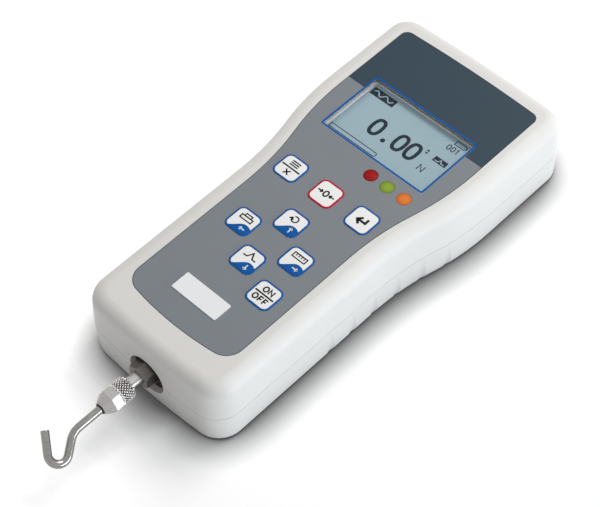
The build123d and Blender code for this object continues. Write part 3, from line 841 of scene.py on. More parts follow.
def plate(outline: np.ndarray, bottom: float, top: float) -> Surface:
    """Thin closed plate with a given outline.

    Formula: four rows of points run from the middle of the underside to the lower edge,
    the upper edge and the middle of the upper side.

    Args:
        outline: Rows of x, y round the plate.
        bottom: Height of the underside.
        top: Height of the upper side.

    Returns:
        The points and the faces.
    """
    middle = np.broadcast_to(outline.mean(axis=0), outline.shape)
    points = levels([middle, outline, outline, middle], [bottom, bottom, top, top])
    return points, grid_faces(4, len(outline), close_columns=True)


def ribbon(
    path: np.ndarray, width: float, bottom: float, top: float, closed: bool = False
) -> Surface:
    """Flat line of ink along a path, with mitred corners.

    Formula: at each point the two neighbouring directions are averaged, and the edges lie
    half the width to each side, divided by the cosine of half the turn.

    Args:
        path: Rows of x, y along the line.
        width: Width of the line.
        bottom: Height of the underside.
        top: Height of the upper side.
        closed: Whether the line is a loop.

    Returns:
        The points and the faces.
    """
    sharpest = 0.45  # cosine at which a mitre is cut short
    step = np.roll(path, -1, axis=0) - path
    if not closed:
        step[-1] = step[-2]
    step /= np.linalg.norm(step, axis=1, keepdims=True)
    before = np.roll(step, 1, axis=0)
    if not closed:
        before[0] = step[0]
    side = (step + before)[:, ::-1] * (-1, 1)
    side /= np.linalg.norm(side, axis=1, keepdims=True)
    cosine = (side * step[:, ::-1] * (-1, 1)).sum(axis=1, keepdims=True)
    reach = side * (width / 2) / np.clip(cosine, sharpest, 1.0)
    return bar((path - reach, path + reach), bottom, top, closed)


# ---------------------------------------------------------- drawn marks
@dataclass(frozen=True)
class Line:
    """Drawn line of a sign: its path, width and whether it closes."""

    path: Sequence[Point2]
    width: float
    closed: bool = False


@dataclass(frozen=True)
class Fill:
    """Filled shape of a sign, given by its outline."""

    path: Sequence[Point2]


Mark = Line | Fill


def ring(
    centre: Point2, half: Point2, width: float, power: float = 2.0, steps: int = 32
) -> Line:
    """Closed oval line about a centre."""
    return Line(oval(*half, power, steps) + centre, width, True)


def box(left: float, first: float, right: float, last: float) -> tuple[Point2, ...]:
    """Four corners of an upright rectangle, from its first side round to its last."""
    return (left, first), (right, first), (right, last), (left, last)


def strokes(width: float, *paths: Sequence[Point2]) -> list[Mark]:
    """Open lines of one width."""
    return [Line(path, width) for path in paths]


def arrow(centre: Point2, angle: float, length: float, width: float, head: float) -> list[Mark]:
    """Small arrow: a straight shaft and an open head.

    Formula: the shaft runs half the length to each side of the centre, and each stroke of
    the head leaves the tip at 135 degrees from the arrow's direction.

    Args:
        centre: Middle of the arrow.
        angle: Direction in degrees, anticlockwise from +X.
        length: Length from tail to tip.
        width: Width of the lines.
        head: Length of each stroke of the head.

    Returns:
        The marks.
    """
    lean = 135.0
    turn = np.radians(angle + np.array([0.0, lean, -lean]))
    ahead, left, right = np.c_[np.cos(turn), np.sin(turn)]
    tip, tail = centre + ahead * length / 2, centre - ahead * length / 2
    return strokes(width, (tail, tip), (tip + head * left, tip, tip + head * right))


def lay_marks(
    pieces: Pieces, marks: Sequence[Mark], centre: Point2, bottom: float, top: float, ink: int
) -> None:
    """Add the marks of a sign to a mesh.

    Args:
        pieces: Mesh that takes them.
        marks: The marks, about their own origin.
        centre: Where the origin goes.
        bottom: Height of their underside.
        top: Height of their upper side.
        ink: Number of the finish.
    """
    for mark in marks:
        path = np.array(mark.path) + centre
        if isinstance(mark, Fill):
            pieces.add(*plate(path, bottom, top), ink)
        else:
            pieces.add(*ribbon(path, mark.width, bottom, top, mark.closed), ink)


# ---------------------------------------------------------------- the studio
@dataclass(frozen=True)
class Softbox:
    """Rectangular lamp that looks at the instrument: place, size, watts and tint."""

    name: str
    place: Point3
    size: Point2
    power: float
    tint: Colour

    def hang(self) -> None:
        """Add the lamp to the scene."""
        data = bpy.data.lights.new(self.name, "AREA")
        data.shape = "RECTANGLE"
        data.size, data.size_y = (side * MM for side in self.size)
        data.energy = self.power
        data.color = self.tint
        lamp = bpy.data.objects.new(self.name, data)
        lamp.location = Vector(self.place) * MM
        lamp.rotation_euler = (-Vector(self.place)).to_track_quat("-Z", "Y").to_euler()
        bpy.context.scene.collection.objects.link(lamp)


@dataclass
class Studio:
    """Camera, floor, world and lamps."""

    aim: Point3 = (9.790, -22.891, 27.335)
    azimuth: float = 45.328
    elevation: float = 53.238
    roll: float = -1.848
    distance: float = 622.31
    lens: float = 109.09
    sensor: float = 36.0
    clip: Span = (50.0, 20000.0)
    floor_size: float = 6000.0
    floor_gap: float = 0.02
    floor_tone: float = 0.88
    world_light: float = 0.42
    lamps: tuple[Softbox, ...] = (
        Softbox("side_softbox", (880, 120, 110), (520, 170), 3.7, (0.83, 0.915, 1.0)),
        Softbox("rear_softbox", (60, 620, 860), (620, 420), 6.0, (1.0, 0.992, 0.975)),
    )

    def build(self) -> None:
        """Make everything that isn't part of the object."""
        bpy.context.scene.view_settings.view_transform = "Standard"
        self._camera()
        self._floor()
        self._world()
        for lamp in self.lamps:
            lamp.hang()
        LOG.info("studio ready")

    def _camera(self) -> None:
        """Place the camera on its line of sight.

        Formula: back is the unit vector at the azimuth and elevation, right lies level and
        square to it, and both right and up are then turned by the roll.
        """
        az, el, roll = (math.radians(v) for v in (self.azimuth, self.elevation, self.roll))
        back = Vector((math.sin(az) * math.cos(el), -math.cos(az) * math.cos(el), math.sin(el)))
        level = Vector((math.cos(az), math.sin(az), 0.0))
        above = back.cross(level)
        right = math.cos(roll) * level + math.sin(roll) * above
        up = -math.sin(roll) * level + math.cos(roll) * above
        data = bpy.data.cameras.new("view")
        data.lens = self.lens
        data.sensor_width = self.sensor
        data.clip_start, data.clip_end = (reach * MM for reach in self.clip)
        camera = bpy.data.objects.new("view", data)
        turn = Matrix((right, up, back)).transposed().to_4x4()
        place = (Vector(self.aim) + back * self.distance) * MM
        camera.matrix_world = Matrix.Translation(place) @ turn
        bpy.context.scene.collection.objects.link(camera)
        bpy.context.scene.camera = camera

    def _floor(self) -> None:
        """Lay the floor under the back of the instrument."""
        half = self.floor_size / 2
        corners = levels([np.array(box(-half, -half, half, half))], [-self.floor_gap])[0]
        mesh = bpy.data.meshes.new("floor")
        mesh.from_pydata((corners * MM).tolist(), [], [(0, 1, 2, 3)])
        mesh.materials.append(StudioFloor("floor_white", (self.floor_tone,) * 3).make())
        floor = bpy.data.objects.new("floor", mesh)
        bpy.context.scene.collection.objects.link(floor)

    def _world(self) -> None:
        """White to the eye, softer as a light."""
        world = bpy.data.worlds.new("studio_world")
        world.use_nodes = True
        tree = world.node_tree
        background = tree.nodes["Background"]
        strength = tree.nodes.new("ShaderNodeMapRange")
        strength.inputs["To Min"].default_value = self.world_light
        strength.inputs["To Max"].default_value = 1.0
        tree.links.new(seen_by_eye(tree), strength.inputs["Value"])
        tree.links.new(strength.outputs["Result"], background.inputs["Strength"])
        background.inputs["Color"].default_value = (1.0, 1.0, 1.0, 1.0)
        bpy.context.scene.world = world


# ---------------------------------------------------------- what all share
@dataclass
class Shop:
    """The frame's nodes, and the finishes that several sub-assemblies use, made once."""

    nodes: dict[str, bpy.types.Object]
    made: dict[str, Material] = field(default_factory=dict)

    def get(self, finish: Finish) -> Material:
        """Material of a finish, made on its first use.

        Args:
            finish: The finish.

        Returns:
            The material.
        """
        if finish.name not in self.made:
            self.made[finish.name] = finish.make()
        return self.made[finish.name]

    def dress(self, finish: Finish, *nodes: str) -> None:
        """Give CAD nodes a finish.

        Args:
            finish: The finish.
            nodes: Names of the nodes.
        """
        for node in nodes:
            data = self.nodes[node].data
            data.materials.clear()
            data.materials.append(self.get(finish))
            LOG.info("dressed %s in %s", node, finish.name)


HOUSING_PLASTIC = MouldedPlastic("housing_plastic", srgb(230, 229, 226), srgb(225, 224, 221))
BLACK_PLASTIC = MouldedPlastic("black_plastic", srgb(32, 32, 33), srgb(40, 40, 41), 0.45, 0.6)
WHITE_DIFFUSER = MouldedPlastic("white_diffuser", srgb(226, 228, 226), srgb(218, 221, 220), 0.4)
CELL_SLEEVE = MouldedPlastic("cell_sleeve", srgb(60, 92, 128), srgb(52, 84, 120), 0.3)
CIRCUIT_FOIL = MouldedPlastic("circuit_foil", srgb(210, 214, 205), srgb(200, 205, 198), 0.35)
KEY_FACE = MouldedPlastic("key_face", srgb(248, 248, 246), srgb(244, 244, 243), 0.42, 0.3, 0.01)
PLATE_WHITE = MouldedPlastic(
    "plate_white", srgb(247, 248, 250), srgb(243, 244, 247), 0.35, 0.5, 0.006
)
OVERLAY_FILM = PrintedFilm("overlay_film", srgb(126, 131, 137), srgb(36, 57, 71), 46.4)
WINDOW_PANE = ClearPane("window_pane", srgb(200, 214, 224))
BLUE_INK = Ink("blue_ink", srgb(0, 84, 158))
RED_INK = Ink("crimson_ink", srgb(184, 6, 42))
BLACK_INK = Ink("black_ink", srgb(16, 16, 20))
WHITE_INK = Ink("white_ink", srgb(232, 236, 238))
# Dark line along the overlay's cut edge: a painted shadow.
EDGE_SHADOW_INK = Ink("edge_shadow_ink", srgb(58, 62, 66))
SEGMENT_INK = Ink("segment_ink", srgb(3, 24, 40), 0.5)
# Each metal's second colour is its darker streak tone: partly tool marks, partly painted
# reflection.
SCREW_STEEL = Metal("screw_steel", (0.50, 0.50, 0.51), (0.36, 0.36, 0.37), 0.32)
SPRING_STEEL = Metal(
    "spring_steel", (0.55, 0.55, 0.54), (0.45, 0.45, 0.44), 0.3, MarksAlong.BLASTED
)
SOCKET_STEEL = Metal(
    "socket_steel", (0.60, 0.60, 0.61), (0.48, 0.48, 0.49), 0.3, MarksAlong.BLASTED
)
BRASS = Metal("turned_brass", (0.72, 0.52, 0.24), (0.60, 0.42, 0.18), 0.3)
MILLED_ALUMINIUM = Metal("milled_aluminium", (0.70, 0.71, 0.72), (0.60, 0.61, 0.62), 0.35)
BRIGHT_STEEL = Metal("bright_steel", (0.52, 0.51, 0.50), (0.38, 0.37, 0.36), 0.2)
DARK_STEEL = Metal("dark_steel", (0.17, 0.155, 0.145), (0.11, 0.10, 0.095), 0.34)
NICKEL = Metal("nickel_plate", (0.42, 0.41, 0.40), (0.32, 0.315, 0.305), 0.42)
KNURL_NICKEL = Metal("knurl_nickel", (0.74, 0.73, 0.71), (0.60, 0.59, 0.575), 0.3)
# Near-black painted shade for the knurl's grooves.
KNURL_GROOVE_SHADE = Metal("knurl_groove_shade", (0.07, 0.068, 0.066), (0.045, 0.044, 0.043), 0.4)
# Strongly darker streaks along the wire: mostly painted reflection, standing for the dark edges
# that a round wire mirrors.
HOOK_STEEL = Metal(
    "hook_wire_steel", (0.34, 0.33, 0.315), (0.16, 0.155, 0.15), 0.2, MarksAlong.DRAWN
)
GREEN_BOARD = CircuitBoard("green_board", srgb(26, 92, 58), srgb(44, 122, 78))


# ------------------------------------------------------------ sub-assemblies
Wear = dict[Finish, Sequence[str]]


@dataclass
class Assembly:
    """Sub-assembly: CAD nodes with their finishes, and the pieces that are made for it."""

    def wear(self) -> Wear:
        """Finishes of the nodes; an assembly without CAD nodes of its own has none."""
        return {}

    def make_pieces(self, shop: Shop) -> None:
        """Make the pieces; an assembly that is all CAD nodes has none."""

    def build(self, shop: Shop) -> None:
        """Dress the nodes, then make the pieces.

        Args:
            shop: Nodes and finishes.
        """
        for finish, nodes in self.wear().items():
            shop.dress(finish, *nodes)
        self.make_pieces(shop)
        LOG.info("built %s", type(self).__name__)


@dataclass
class Housing(Assembly):
    """Both shells and the fasteners in the back."""

    def wear(self) -> Wear:
        """Finishes of the shells and their metal parts."""
        return {
            HOUSING_PLASTIC: ["upper_shell", "lower_shell"],
            SCREW_STEEL: ["shell_screws"],
            BRASS: ["mounting_inserts"],
        }


@dataclass
class Overlay(Assembly):
    """Keypad overlay with its print, and the blank plate on it."""

    height: float = 30.0
    print_height: float = 0.03
    window_half: Point2 = (24.25, 15.15)
    window_centre: Point2 = (0.0, 38.4)
    window_corner: float = 0.8
    border: float = 0.75
    shadow_line_width: float = 0.22
    shadow_line_height: float = 0.02
    level_within: float = 0.01

    def wear(self) -> Wear:
        """Finishes of the sheet and the plate."""
        return {OVERLAY_FILM: ["keypad_overlay"], PLATE_WHITE: ["rating_plate"]}

    def outer_edge(self, sheet: bpy.types.Object) -> np.ndarray:
        """Outline of the sheet's upper side, read from the frame's own mesh.

        Formula: of the triangles at the sheet's height, a side belongs to a rim where no
        other triangle runs along it the other way. From a point with the largest y, each
        rim point's number of steps to that point is found by doubling: its count grows by
        the count of the point that it leads to, which then hands on its own lead.

        Args:
            sheet: The overlay.

        Returns:
            Rows of x, y in millimetres, in order round the sheet.
        """
        mesh = sheet.data
        mesh.calc_loop_triangles()
        corners = np.empty(3 * len(mesh.loop_triangles), np.int64)
        mesh.loop_triangles.foreach_get("vertices", corners)
        place = np.empty(3 * len(mesh.vertices))
        mesh.vertices.foreach_get("co", place)
        rounded = np.round(place.reshape(-1, 3) / MM, 3)
        points, number = np.unique(rounded, axis=0, return_inverse=True)
        faces = number.reshape(-1)[corners].reshape(-1, 3)
        faces = faces[(points[faces][..., 2] > self.height - self.level_within).all(axis=1)]
        count = len(points)
        start, end = faces.reshape(-1), np.roll(faces, -1, axis=1).reshape(-1)
        rim = ~np.isin(start * count + end, end * count + start)
        start, end = start[rim], end[rim]
        last = start[np.argmax(points[start, 1])]
        lead, steps = np.full(count, -1), np.ones(count, np.int64)
        lead[start], lead[last], steps[last] = end, last, 0
        for _ in range(count.bit_length()):
            steps += np.where(lead >= 0, steps[lead], 0)
            lead = np.where(lead >= 0, lead[lead], -1)
        run = np.flatnonzero(lead == last)
        return points[run[np.argsort(-steps[run])], :2]

    def make_pieces(self, shop: Shop) -> None:
        """Print the window's border, and lay a thin dark line along the cut edge as a painted
        shadow there.

        Args:
            shop: Nodes and finishes.
        """
        half_x, half_y = (half - self.border / 2 for half in self.window_half)
        border = rounded_box(half_x, half_y, self.window_corner) + self.window_centre
        edge = self.outer_edge(shop.nodes["keypad_overlay"])
        for name, path, width, height, ink in (
            ("window_border", border, self.border, self.print_height, BLUE_INK),
            # Painted shadow: a dark line laid along the sheet's cut edge.
            ("overlay_edge_shadow", edge, self.shadow_line_width, self.shadow_line_height, EDGE_SHADOW_INK),
        ):
            piece = Pieces()
            piece.add(*ribbon(path, width, self.height, self.height + height, closed=True))
            piece.object(name, "housing", "overlay", [shop.get(ink)])


@dataclass
class Display(Assembly):
    """Pane, liquid crystal panel and what it shows."""

    panel_top: float = 27.0
    ink_height: float = 0.05
    centre: Point2 = (0.0, 38.4)
    panel_half: Point2 = (23.25, 14.15)
    digit_half: Point2 = (2.0, 3.7)
    digit_width: float = 1.4
    digit_squareness: float = 2.5
    digit_x: tuple[float, ...] = (-9.4, 1.7, 7.5)
    digit_y: float = 37.4
    point_radius: float = 0.95
    point_steps: int = 16
    point_centre: Point2 = (-3.8, 34.0)
    count_half: Point2 = (0.62, 1.15)
    count_width: float = 0.36
    count_squareness: float = 2.6
    count_steps: int = 20
    count_x: tuple[float, ...] = (15.7, 17.6)
    count_y: float = 47.9
    curve_start: Point2 = (-21.8, 49.6)
    curve_step: float = 0.42
    curve_rise: float = 0.9
    curve_turn: float = 0.62
    curve_points: int = 22

    def liquid(self) -> LiquidCrystal:
        """Finish of the panel."""
        # The second tone is the painted shade at the panel's edges; the dot raster uses it too.
        tone, edge = srgb(142, 166, 175), srgb(126, 146, 160)
        return LiquidCrystal("liquid_crystal", tone, edge, self.centre, self.panel_half)

    def wear(self) -> Wear:
        """Finishes of the panel, its light and the pane."""
        return {
            self.liquid(): ["lcd_panel"],
            WHITE_DIFFUSER: ["lcd_backlight", "lamp_chips"],
            WINDOW_PANE: ["display_window"],
        }

    def marks(self) -> list[Mark]:
        """Dark marks on the panel.

        Returns:
            The reading with its point, the count, a cell, a bar, the unit N, two small
            triangles and the two tags.
        """
        reading = [
            ring((x, self.digit_y), self.digit_half, self.digit_width, self.digit_squareness)
            for x in self.digit_x
        ]
        point = oval(self.point_radius, self.point_radius, steps=self.point_steps)
        count = [
            ring((x, self.count_y), self.count_half, self.count_width, self.count_squareness,
                 self.count_steps)
            for x in self.count_x
        ]
        one = Line(((18.9, 48.6), (19.5, 49.05), (19.5, 46.75)), self.count_width)
        cell = ((16.3, 50.2), (16.3, 52.1), (20.4, 52.1), (21.1, 51.5), (21.1, 50.8), (20.4, 50.2))
        bar_end = ((-1.4, 26.2), (-0.9, 26.7), (-0.9, 27.5), (-1.4, 28.0))
        bar_outline = ((-22.9, 26.2), *bar_end, (-22.9, 28.0))
        unit = Line(((13.7, 32.3), (13.7, 35.1), (15.8, 32.3), (15.8, 35.1)), 0.42)
        shapes = (
            box(-22.9, 47.8, -11.9, 51.4),
            box(15.1, 39.3, 20.8, 41.8),
            ((10.8, 41.3), (12.2, 41.3), (11.5, 42.2)),
            ((10.8, 40.7), (11.5, 39.8), (12.2, 40.7)),
        )
        outlines = [Line(cell, 0.34, True), Line(bar_outline, 0.3, True)]
        fills = map(Fill, (point + self.point_centre, *shapes))
        return [*reading, *count, one, *outlines, unit, *fills]

    def tag_marks(self) -> list[Mark]:
        """Light signs on the two dark tags.

        Formula: the running curve is a sine of the step, with equal steps across.

        Returns:
            The curve and the peak.
        """
        step = np.arange(self.curve_points)
        wave = np.c_[self.curve_step * step, self.curve_rise * np.sin(step * self.curve_turn)]
        peak = ((15.8, 39.9), (17.3, 39.9), (18.0, 41.2), (18.7, 39.9), (20.1, 39.9))
        return [Line(wave + self.curve_start, 0.45), Line(peak, 0.4)]

    def make_pieces(self, shop: Shop) -> None:
        """Draw what the display shows.

        Args:
            shop: Nodes and finishes.
        """
        shown = Pieces()
        low, middle = self.panel_top, self.panel_top + self.ink_height
        lay_marks(shown, self.marks(), (0, 0), low, middle, 0)
        lay_marks(shown, self.tag_marks(), (0, 0), middle, middle + self.ink_height, 1)
        finishes = [shop.get(SEGMENT_INK), shop.get(self.liquid())]
        shown.object("display_marks", "housing", "display", finishes)


@dataclass
class Lamps(Assembly):
    """The three signal lamps."""

    first_x: float = 5.7
    pitch: float = 7.8
    y: float = 17.4
    radius: float = 2.65
    tones: tuple[tuple[str, Colour, Colour], ...] = (
        ("red", srgb(164, 6, 0), srgb(126, 4, 0)),
        ("green", srgb(142, 170, 52), srgb(110, 140, 32)),
        ("amber", srgb(232, 128, 48), srgb(206, 100, 26)),
    )

    def wear(self) -> Wear:
        """Finish of each lens, about its own middle."""
        lenses = {}
        for step, (name, colour, rim) in enumerate(self.tones):
            centre = (self.first_x + self.pitch * step, self.y)
            lens = LampLens(f"{name}_lens", colour, rim, centre, self.radius)
            lenses[lens] = [f"lamp_{name}"]
        return lenses


class Sign(Enum):
    """Sign printed on a key."""

    LIST_AND_BACK = "list"
    ZERO = "zero"
    ENTER = "enter"
    SHEET = "sheet"
    LOOP = "loop"
    WAVE = "wave"
    RULER = "ruler"
    ON_OFF = "on_off"


def arc(middle: float, radius: float, start: float, end: float) -> np.ndarray:
    """Part of a circle about a point on the key's own Y axis.

    Formula: the turn runs evenly from start to end at one radius from (0, middle).

    Args:
        middle: Where the centre lies along Y.
        radius: Radius.
        start: First turn in degrees.
        end: Last turn in degrees, below the first where the arc runs clockwise.

    Returns:
        Rows of x, y.
    """
    turn = np.radians(np.linspace(start, end, 24))
    return np.c_[radius * np.cos(turn), middle + radius * np.sin(turn)]


# In millimetres about the middle of the key.
DIVIDER = ((-4.1, 0.0), (4.1, 0.0))
SIGN_MARKS: dict[Sign, list[Mark]] = {
    Sign.LIST_AND_BACK: [
        *strokes(0.62, DIVIDER),
        *strokes(0.52, *(((-1.9, y), (1.9, y)) for y in (1.3, 2.25, 3.2))),
        *strokes(0.56, ((-1.05, -1.15), (1.05, -3.25)), ((-1.05, -3.25), (1.05, -1.15))),
    ],
    Sign.ZERO: [
        ring((0.0, 0.0), (0.85, 1.25), 0.62),
        *arrow((-2.65, 0.0), 0.0, 2.0, 0.55, 1.0),
        *arrow((2.65, 0.0), 180.0, 2.0, 0.55, 1.0),
    ],
    Sign.ENTER: strokes(
        0.95, ((1.9, 1.6), (1.9, -0.5), (-1.5, -0.5)), ((-0.1, 1.1), (-1.7, -0.5), (-0.1, -2.1))
    ),
    Sign.SHEET: [
        Line(box(-1.4, 3.3, 1.4, 2.2), 0.46, True), Line(box(-2.5, 2.2, 2.5, 0.7), 0.5, True)
    ],
    Sign.LOOP: strokes(
        0.52, arc(1.95, 1.3, 130.0, -180.0), ((-2.1, 1.3), (-1.3, 2.2), (-0.5, 1.3))
    ),
    Sign.WAVE: strokes(0.52, ((-2.8, 0.9), (-1.2, 0.9), (0.0, 3.3), (1.2, 0.9), (2.8, 0.9))),
    Sign.RULER: [
        Line(box(-2.8, 2.9, 2.8, 0.9), 0.46, True),
        *strokes(0.4, *(((x, 2.8), (x, 1.8)) for x in (-1.7, -0.57, 0.57, 1.7))),
    ],
    Sign.ON_OFF: [
        *strokes(0.62, DIVIDER),
        *(ring(centre, (0.9, 1.05), 0.56) for centre in ((-1.05, 2.1), (-2.15, -2.1))),
        *strokes(0.54, ((0.6, 1.05), (0.6, 3.15), (2.2, 1.05), (2.2, 3.15))),
        *strokes(0.54, *(((x, -3.2), (x, -1.1), (x + 1.35, -1.1)) for x in (-0.4, 1.65))),
        *strokes(0.54, *(((x, -2.15), (x + 1.1, -2.15)) for x in (-0.4, 1.65))),
    ],
}


@dataclass(frozen=True)
class KeySpec:
    """One key: its name, place, sign and the direction of its small arrow, if any."""

    name: str
    centre: Point2
    sign: Sign
    arrow_angle: float | None = None
    border: Ink = BLUE_INK


@dataclass
class Keypad(Assembly):
    """Eight keys with a printed edge, a sign and, on four, a wave with an arrow."""

    size: float = 10.6
    corner: float = 2.6
    least_corner: float = 0.35
    thinnest: float = 0.01
    skirt: float = 0.4
    bottom: float = 29.3
    skirt_top: float = 29.65
    top: float = 30.2
    edge_round: float = 0.2
    round_steps: int = 5
    border: float = 0.72
    face_steps: int = 7
    middle_half: float = 0.05
    ink_height: float = 0.02
    crown: float = 0.05
    sunk_share: float = 0.2
    wave_steps: int = 40
    wave_left: float = 0.25
    wave_lap: float = 0.02
    wave_foot: float = -4.8
    wave_rise: float = 4.2
    wave_rise_x: Span = (-4.3, 1.9)
    wave_fall: float = 0.12
    wave_fall_x: float = 2.2
    arrow_place: Point2 = (1.9, -2.75)
    arrow_length: float = 2.2
    arrow_width: float = 0.44
    arrow_head: float = 0.95
    keys: tuple[KeySpec, ...] = (
        KeySpec("menu", (-17.0, 0.5), Sign.LIST_AND_BACK),
        KeySpec("zero", (0.0, 0.5), Sign.ZERO, border=RED_INK),
        KeySpec("enter", (17.0, 0.5), Sign.ENTER),
        KeySpec("print", (-12.6, -27.7), Sign.SHEET, 180.0),
        KeySpec("units", (12.6, -27.7), Sign.RULER, 0.0),
        KeySpec("reset", (0.0, -17.0), Sign.LOOP, 90.0),
        KeySpec("mode", (0.0, -38.4), Sign.WAVE, 270.0),
        KeySpec("power", (14.6, -45.1), Sign.ON_OFF),
    )

    def ink_levels(self) -> Span:
        """Underside, sunk a little into the crowned face, and upper side of the print."""
        return self.top + self.crown * self.sunk_share, self.top + self.crown + self.ink_height

    def cap(self, centre: Point2) -> Pieces:
        """Closed surface of one key.

        Formula: rounded squares stacked as rows; each row has its own inset from the key's
        side and its own height, from the middle of the underside round the skirt, up the
        side, over the rounded edge and the printed band to the middle of the crowned face.

        Args:
            centre: Middle of the key.

        Returns:
            The surface, with finish 1 on the printed band and 0 elsewhere.
        """
        turn = np.linspace(0, np.pi / 2, self.round_steps)
        rounding = zip(
            self.edge_round * (1 - np.cos(turn)), self.top - self.edge_round * (1 - np.sin(turn))
        )
        half = self.size / 2
        inmost = half - self.middle_half
        face = np.linspace(self.border, inmost, self.face_steps)
        share = (face - self.border) / (half - self.border)
        crowned = self.top + self.crown * (1 - (1 - share) ** 2)
        side = [
            (inmost, self.bottom), (-self.skirt, self.bottom), (-self.skirt, self.skirt_top),
            (0.0, self.skirt_top),
        ]
        insets, heights = zip(*side, *rounding, *zip(face, crowned))
        squares = []
        for inset in insets:
            corner = max(self.corner - inset, self.least_corner)
            reach = max(half - inset, corner + self.thinnest)
            squares.append(rounded_box(reach, reach, corner) + centre)
        rows = levels(squares, heights)
        poles = np.broadcast_to(rows[[0, -1]].mean(axis=1, keepdims=True), (2, *rows.shape[1:]))
        points = np.concatenate([poles[:1], rows, poles[1:]])
        columns = points.shape[1]
        faces = grid_faces(len(points), columns, close_columns=True)
        row = np.arange(len(faces)) // columns
        printed = (row > len(side)) & (row <= len(side) + self.round_steps)
        cap = Pieces()
        cap.add(points, faces, printed.astype(int))
        return cap

    def wave(self, centre: Point2) -> Surface:
        """Coloured wave over the lower part of a key.

        Formula: across, x runs over the face inside the band; along, y runs from the
        face's lower edge to a curve that rises with an eased step from the lower left
        corner and then falls with the square of the distance.

        Args:
            centre: Middle of the key.

        Returns:
            The points and the faces.
        """
        inner = self.size / 2 - self.border + self.wave_lap
        round_in = self.corner - self.border
        x = np.linspace(-inner + self.wave_left, inner, self.wave_steps)
        past = np.clip(np.abs(x) - (inner - round_in), 0, round_in)
        lower = -(inner - round_in) - np.sqrt(np.maximum(round_in**2 - past**2, 0))
        rise_from, rise_to = self.wave_rise_x
        rise = np.clip((x - rise_from) / (rise_to - rise_from), 0, 1)
        eased = rise * rise * (3 - 2 * rise)
        fall = self.wave_fall * np.clip(x - self.wave_fall_x, 0, None) ** 2
        upper = self.wave_foot + self.wave_rise * eased - fall
        upper = np.maximum(upper, lower + self.thinnest)
        return bar([np.c_[x, y] + centre for y in (lower, upper)], *self.ink_levels())

    def make_pieces(self, shop: Shop) -> None:
        """Make each key's cap and its print.

        Args:
            shop: Nodes and finishes.
        """
        low, high = self.ink_levels()
        inks = [shop.get(BLACK_INK), shop.get(BLUE_INK), shop.get(WHITE_INK)]
        for key in self.keys:
            body = f"{key.name}_key"
            finishes = [shop.get(KEY_FACE), shop.get(key.border)]
            piece = self.cap(key.centre).object(f"{key.name}_cap", body, "key_cap", finishes)
            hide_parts(f"key_{key.name}")
            ink = Pieces()
            lay_marks(ink, SIGN_MARKS[key.sign], key.centre, low, high, 0)
            if key.arrow_angle is not None:
                ink.add(*self.wave(key.centre), 1)
                marks = arrow(
                    self.arrow_place, key.arrow_angle, self.arrow_length, self.arrow_width,
                    self.arrow_head,
                )
                lay_marks(ink, marks, key.centre, low, high + self.ink_height, 2)
            ink.object(f"{key.name}_print", body, "key_cap", inks)


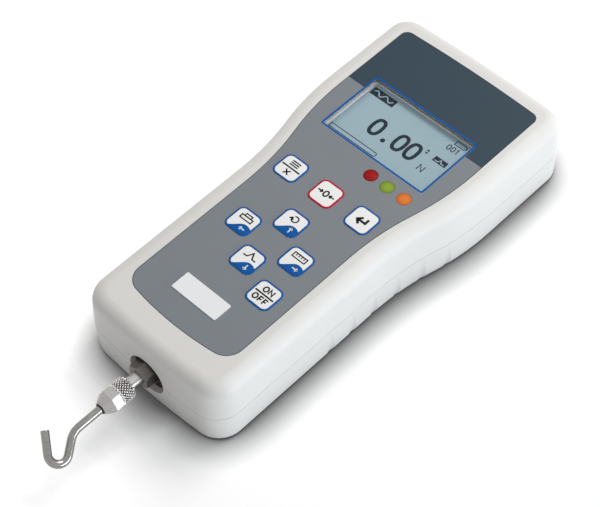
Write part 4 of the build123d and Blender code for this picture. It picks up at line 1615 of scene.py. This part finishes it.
@dataclass
class ForceTrain(Assembly):
    """Shaft, washer, nuts and hook."""

    axis_height: float = 16.0
    nut_rear: float = -95.5
    nut_front: float = -101.0
    nut_radius: float = 4.3
    nut_bore: float = 2.55
    nut_chamfer: float = 0.6
    nut_smooth_below: float = 50.0
    diamonds: int = 22
    diamond_length: float = 1.25
    diamond_flat_from: float = 0.625
    knurl_depth: float = 0.5
    groove_shade_share: float = 0.30
    along: int = 48
    around: int = 220
    nose_y: float = -107.95
    nose_radius: float = 1.95
    nose_sunk: float = 0.02
    nose_back: float = 0.6
    nose_steps: tuple[int, int] = (12, 48)
    wire_radius: float = 1.5

    def wear(self) -> Wear:
        """Finishes of the train's nodes."""
        return {
            BRIGHT_STEEL: ["measuring_shaft"],
            DARK_STEEL: ["shaft_nut"],
            BLACK_PLASTIC: ["dust_washer"],
            NICKEL: ["hook_head"],
            HOOK_STEEL: ["hook_wire"],
        }

    def knurled_nut(self) -> Pieces:
        """Lock nut with a diamond knurl.

        Formula: a profile of radius against place along the axis is turned about the axis.
        A diamond's height is the smaller of two triangle waves, whose phases are the turn
        times the number of diamonds plus and minus the place over the diamond's length. On
        the outer run the radius is cut by the knurl's depth times one less that height over
        diamond_flat_from, so the tops are flat. There is no cut on the chamfers, and faces
        below the groove share of the height wear finish 1, a near-black painted shade in the
        grooves.

        Returns:
            The surface.
        """
        length = self.nut_rear - self.nut_front
        run = np.linspace(self.nut_chamfer, length - self.nut_chamfer, self.along)
        place = np.concatenate([[0, 0], run, [length, length]])
        low = self.nut_radius - self.nut_chamfer
        outer = np.full(self.along, self.nut_radius)
        radius = np.concatenate([[self.nut_bore, low], outer, [low, self.nut_bore]])
        is_cut = np.pad(np.ones(self.along), 2)[:, None]
        angle = np.linspace(0, 2 * np.pi, self.around, endpoint=False)
        turns = angle * self.diamonds / (2 * np.pi)
        shift = place[:, None] / self.diamond_length
        waves = [1 - np.abs(2 * ((turns + s * shift) % 1.0) - 1) for s in (1, -1)]
        height = np.minimum(*waves)
        groove = 1 - np.minimum(height / self.diamond_flat_from, 1)
        cut_radius = radius[:, None] - self.knurl_depth * is_cut * groove
        points, faces = turned(self.nut_front + place, cut_radius, angle, self.axis_height)
        # Faces low in the grooves take finish 1, a near-black painted shade.
        level = np.where(is_cut > 0, height, 1.0).reshape(-1)[faces].mean(axis=1)
        nut = Pieces()
        nut.add(points, faces, (level < self.groove_shade_share).astype(int))
        return nut

    def nose_ring(self) -> Pieces:
        """Dark ring round the wire at the nose.

        Formula: a circle across the ring's thickness is turned about the axis.

        Returns:
            The surface.
        """
        turn, angle = (np.linspace(0, 2 * np.pi, n, endpoint=False) for n in self.nose_steps)
        half = (self.nose_radius - self.wire_radius) / 2 + self.nose_sunk
        radius = self.wire_radius + half + half * np.cos(turn)[:, None] + 0 * angle
        place = self.nose_y - half * self.nose_back + half * np.sin(turn)
        ring_piece = Pieces()
        ring_piece.add(*turned(place, radius, angle, self.axis_height))
        return ring_piece

    def make_pieces(self, shop: Shop) -> None:
        """Make the knurled nut and the nose ring.

        Args:
            shop: Nodes and finishes.
        """
        nut = self.knurled_nut().object(
            "knurled_lock_nut", "lock_nut", "nickel",
            [shop.get(KNURL_NICKEL), shop.get(KNURL_GROOVE_SHADE)], self.nut_smooth_below,
        )
        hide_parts("lock_nut")
        self.nose_ring().object("nose_ring", "hook", "black_plastic", [shop.get(BLACK_PLASTIC)])


@dataclass
class Interior(Assembly):
    """What the closed housing holds."""

    def wear(self) -> Wear:
        """Finishes of the inner nodes."""
        return {
            GREEN_BOARD: ["main_board", "port_board"],
            SCREW_STEEL: ["board_screws", "bracket_screws", "cell_screws", "port_screws"],
            BLACK_PLASTIC: ["keypad_connector", "board_chips", "battery_tray", "power_jack"],
            CELL_SLEEVE: ["battery_cells"],
            SPRING_STEEL: ["battery_contacts", "key_domes"],
            SOCKET_STEEL: ["usb_socket"],
            CIRCUIT_FOIL: ["membrane_circuit"],
            MILLED_ALUMINIUM: ["load_cell", "cell_bracket"],
        }


def main() -> None:
    """Load the frame, then build the studio and every sub-assembly in order."""
    logging.basicConfig(level=logging.INFO, format="%(name)s: %(message)s")
    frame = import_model()
    Studio().build()
    shop = Shop(frame["nodes"])
    for assembly in (
        Housing(), Overlay(), Display(), Lamps(), Keypad(), ForceTrain(), Interior()
    ):
        assembly.build(shop)


if __name__ == "__main__":
    main()
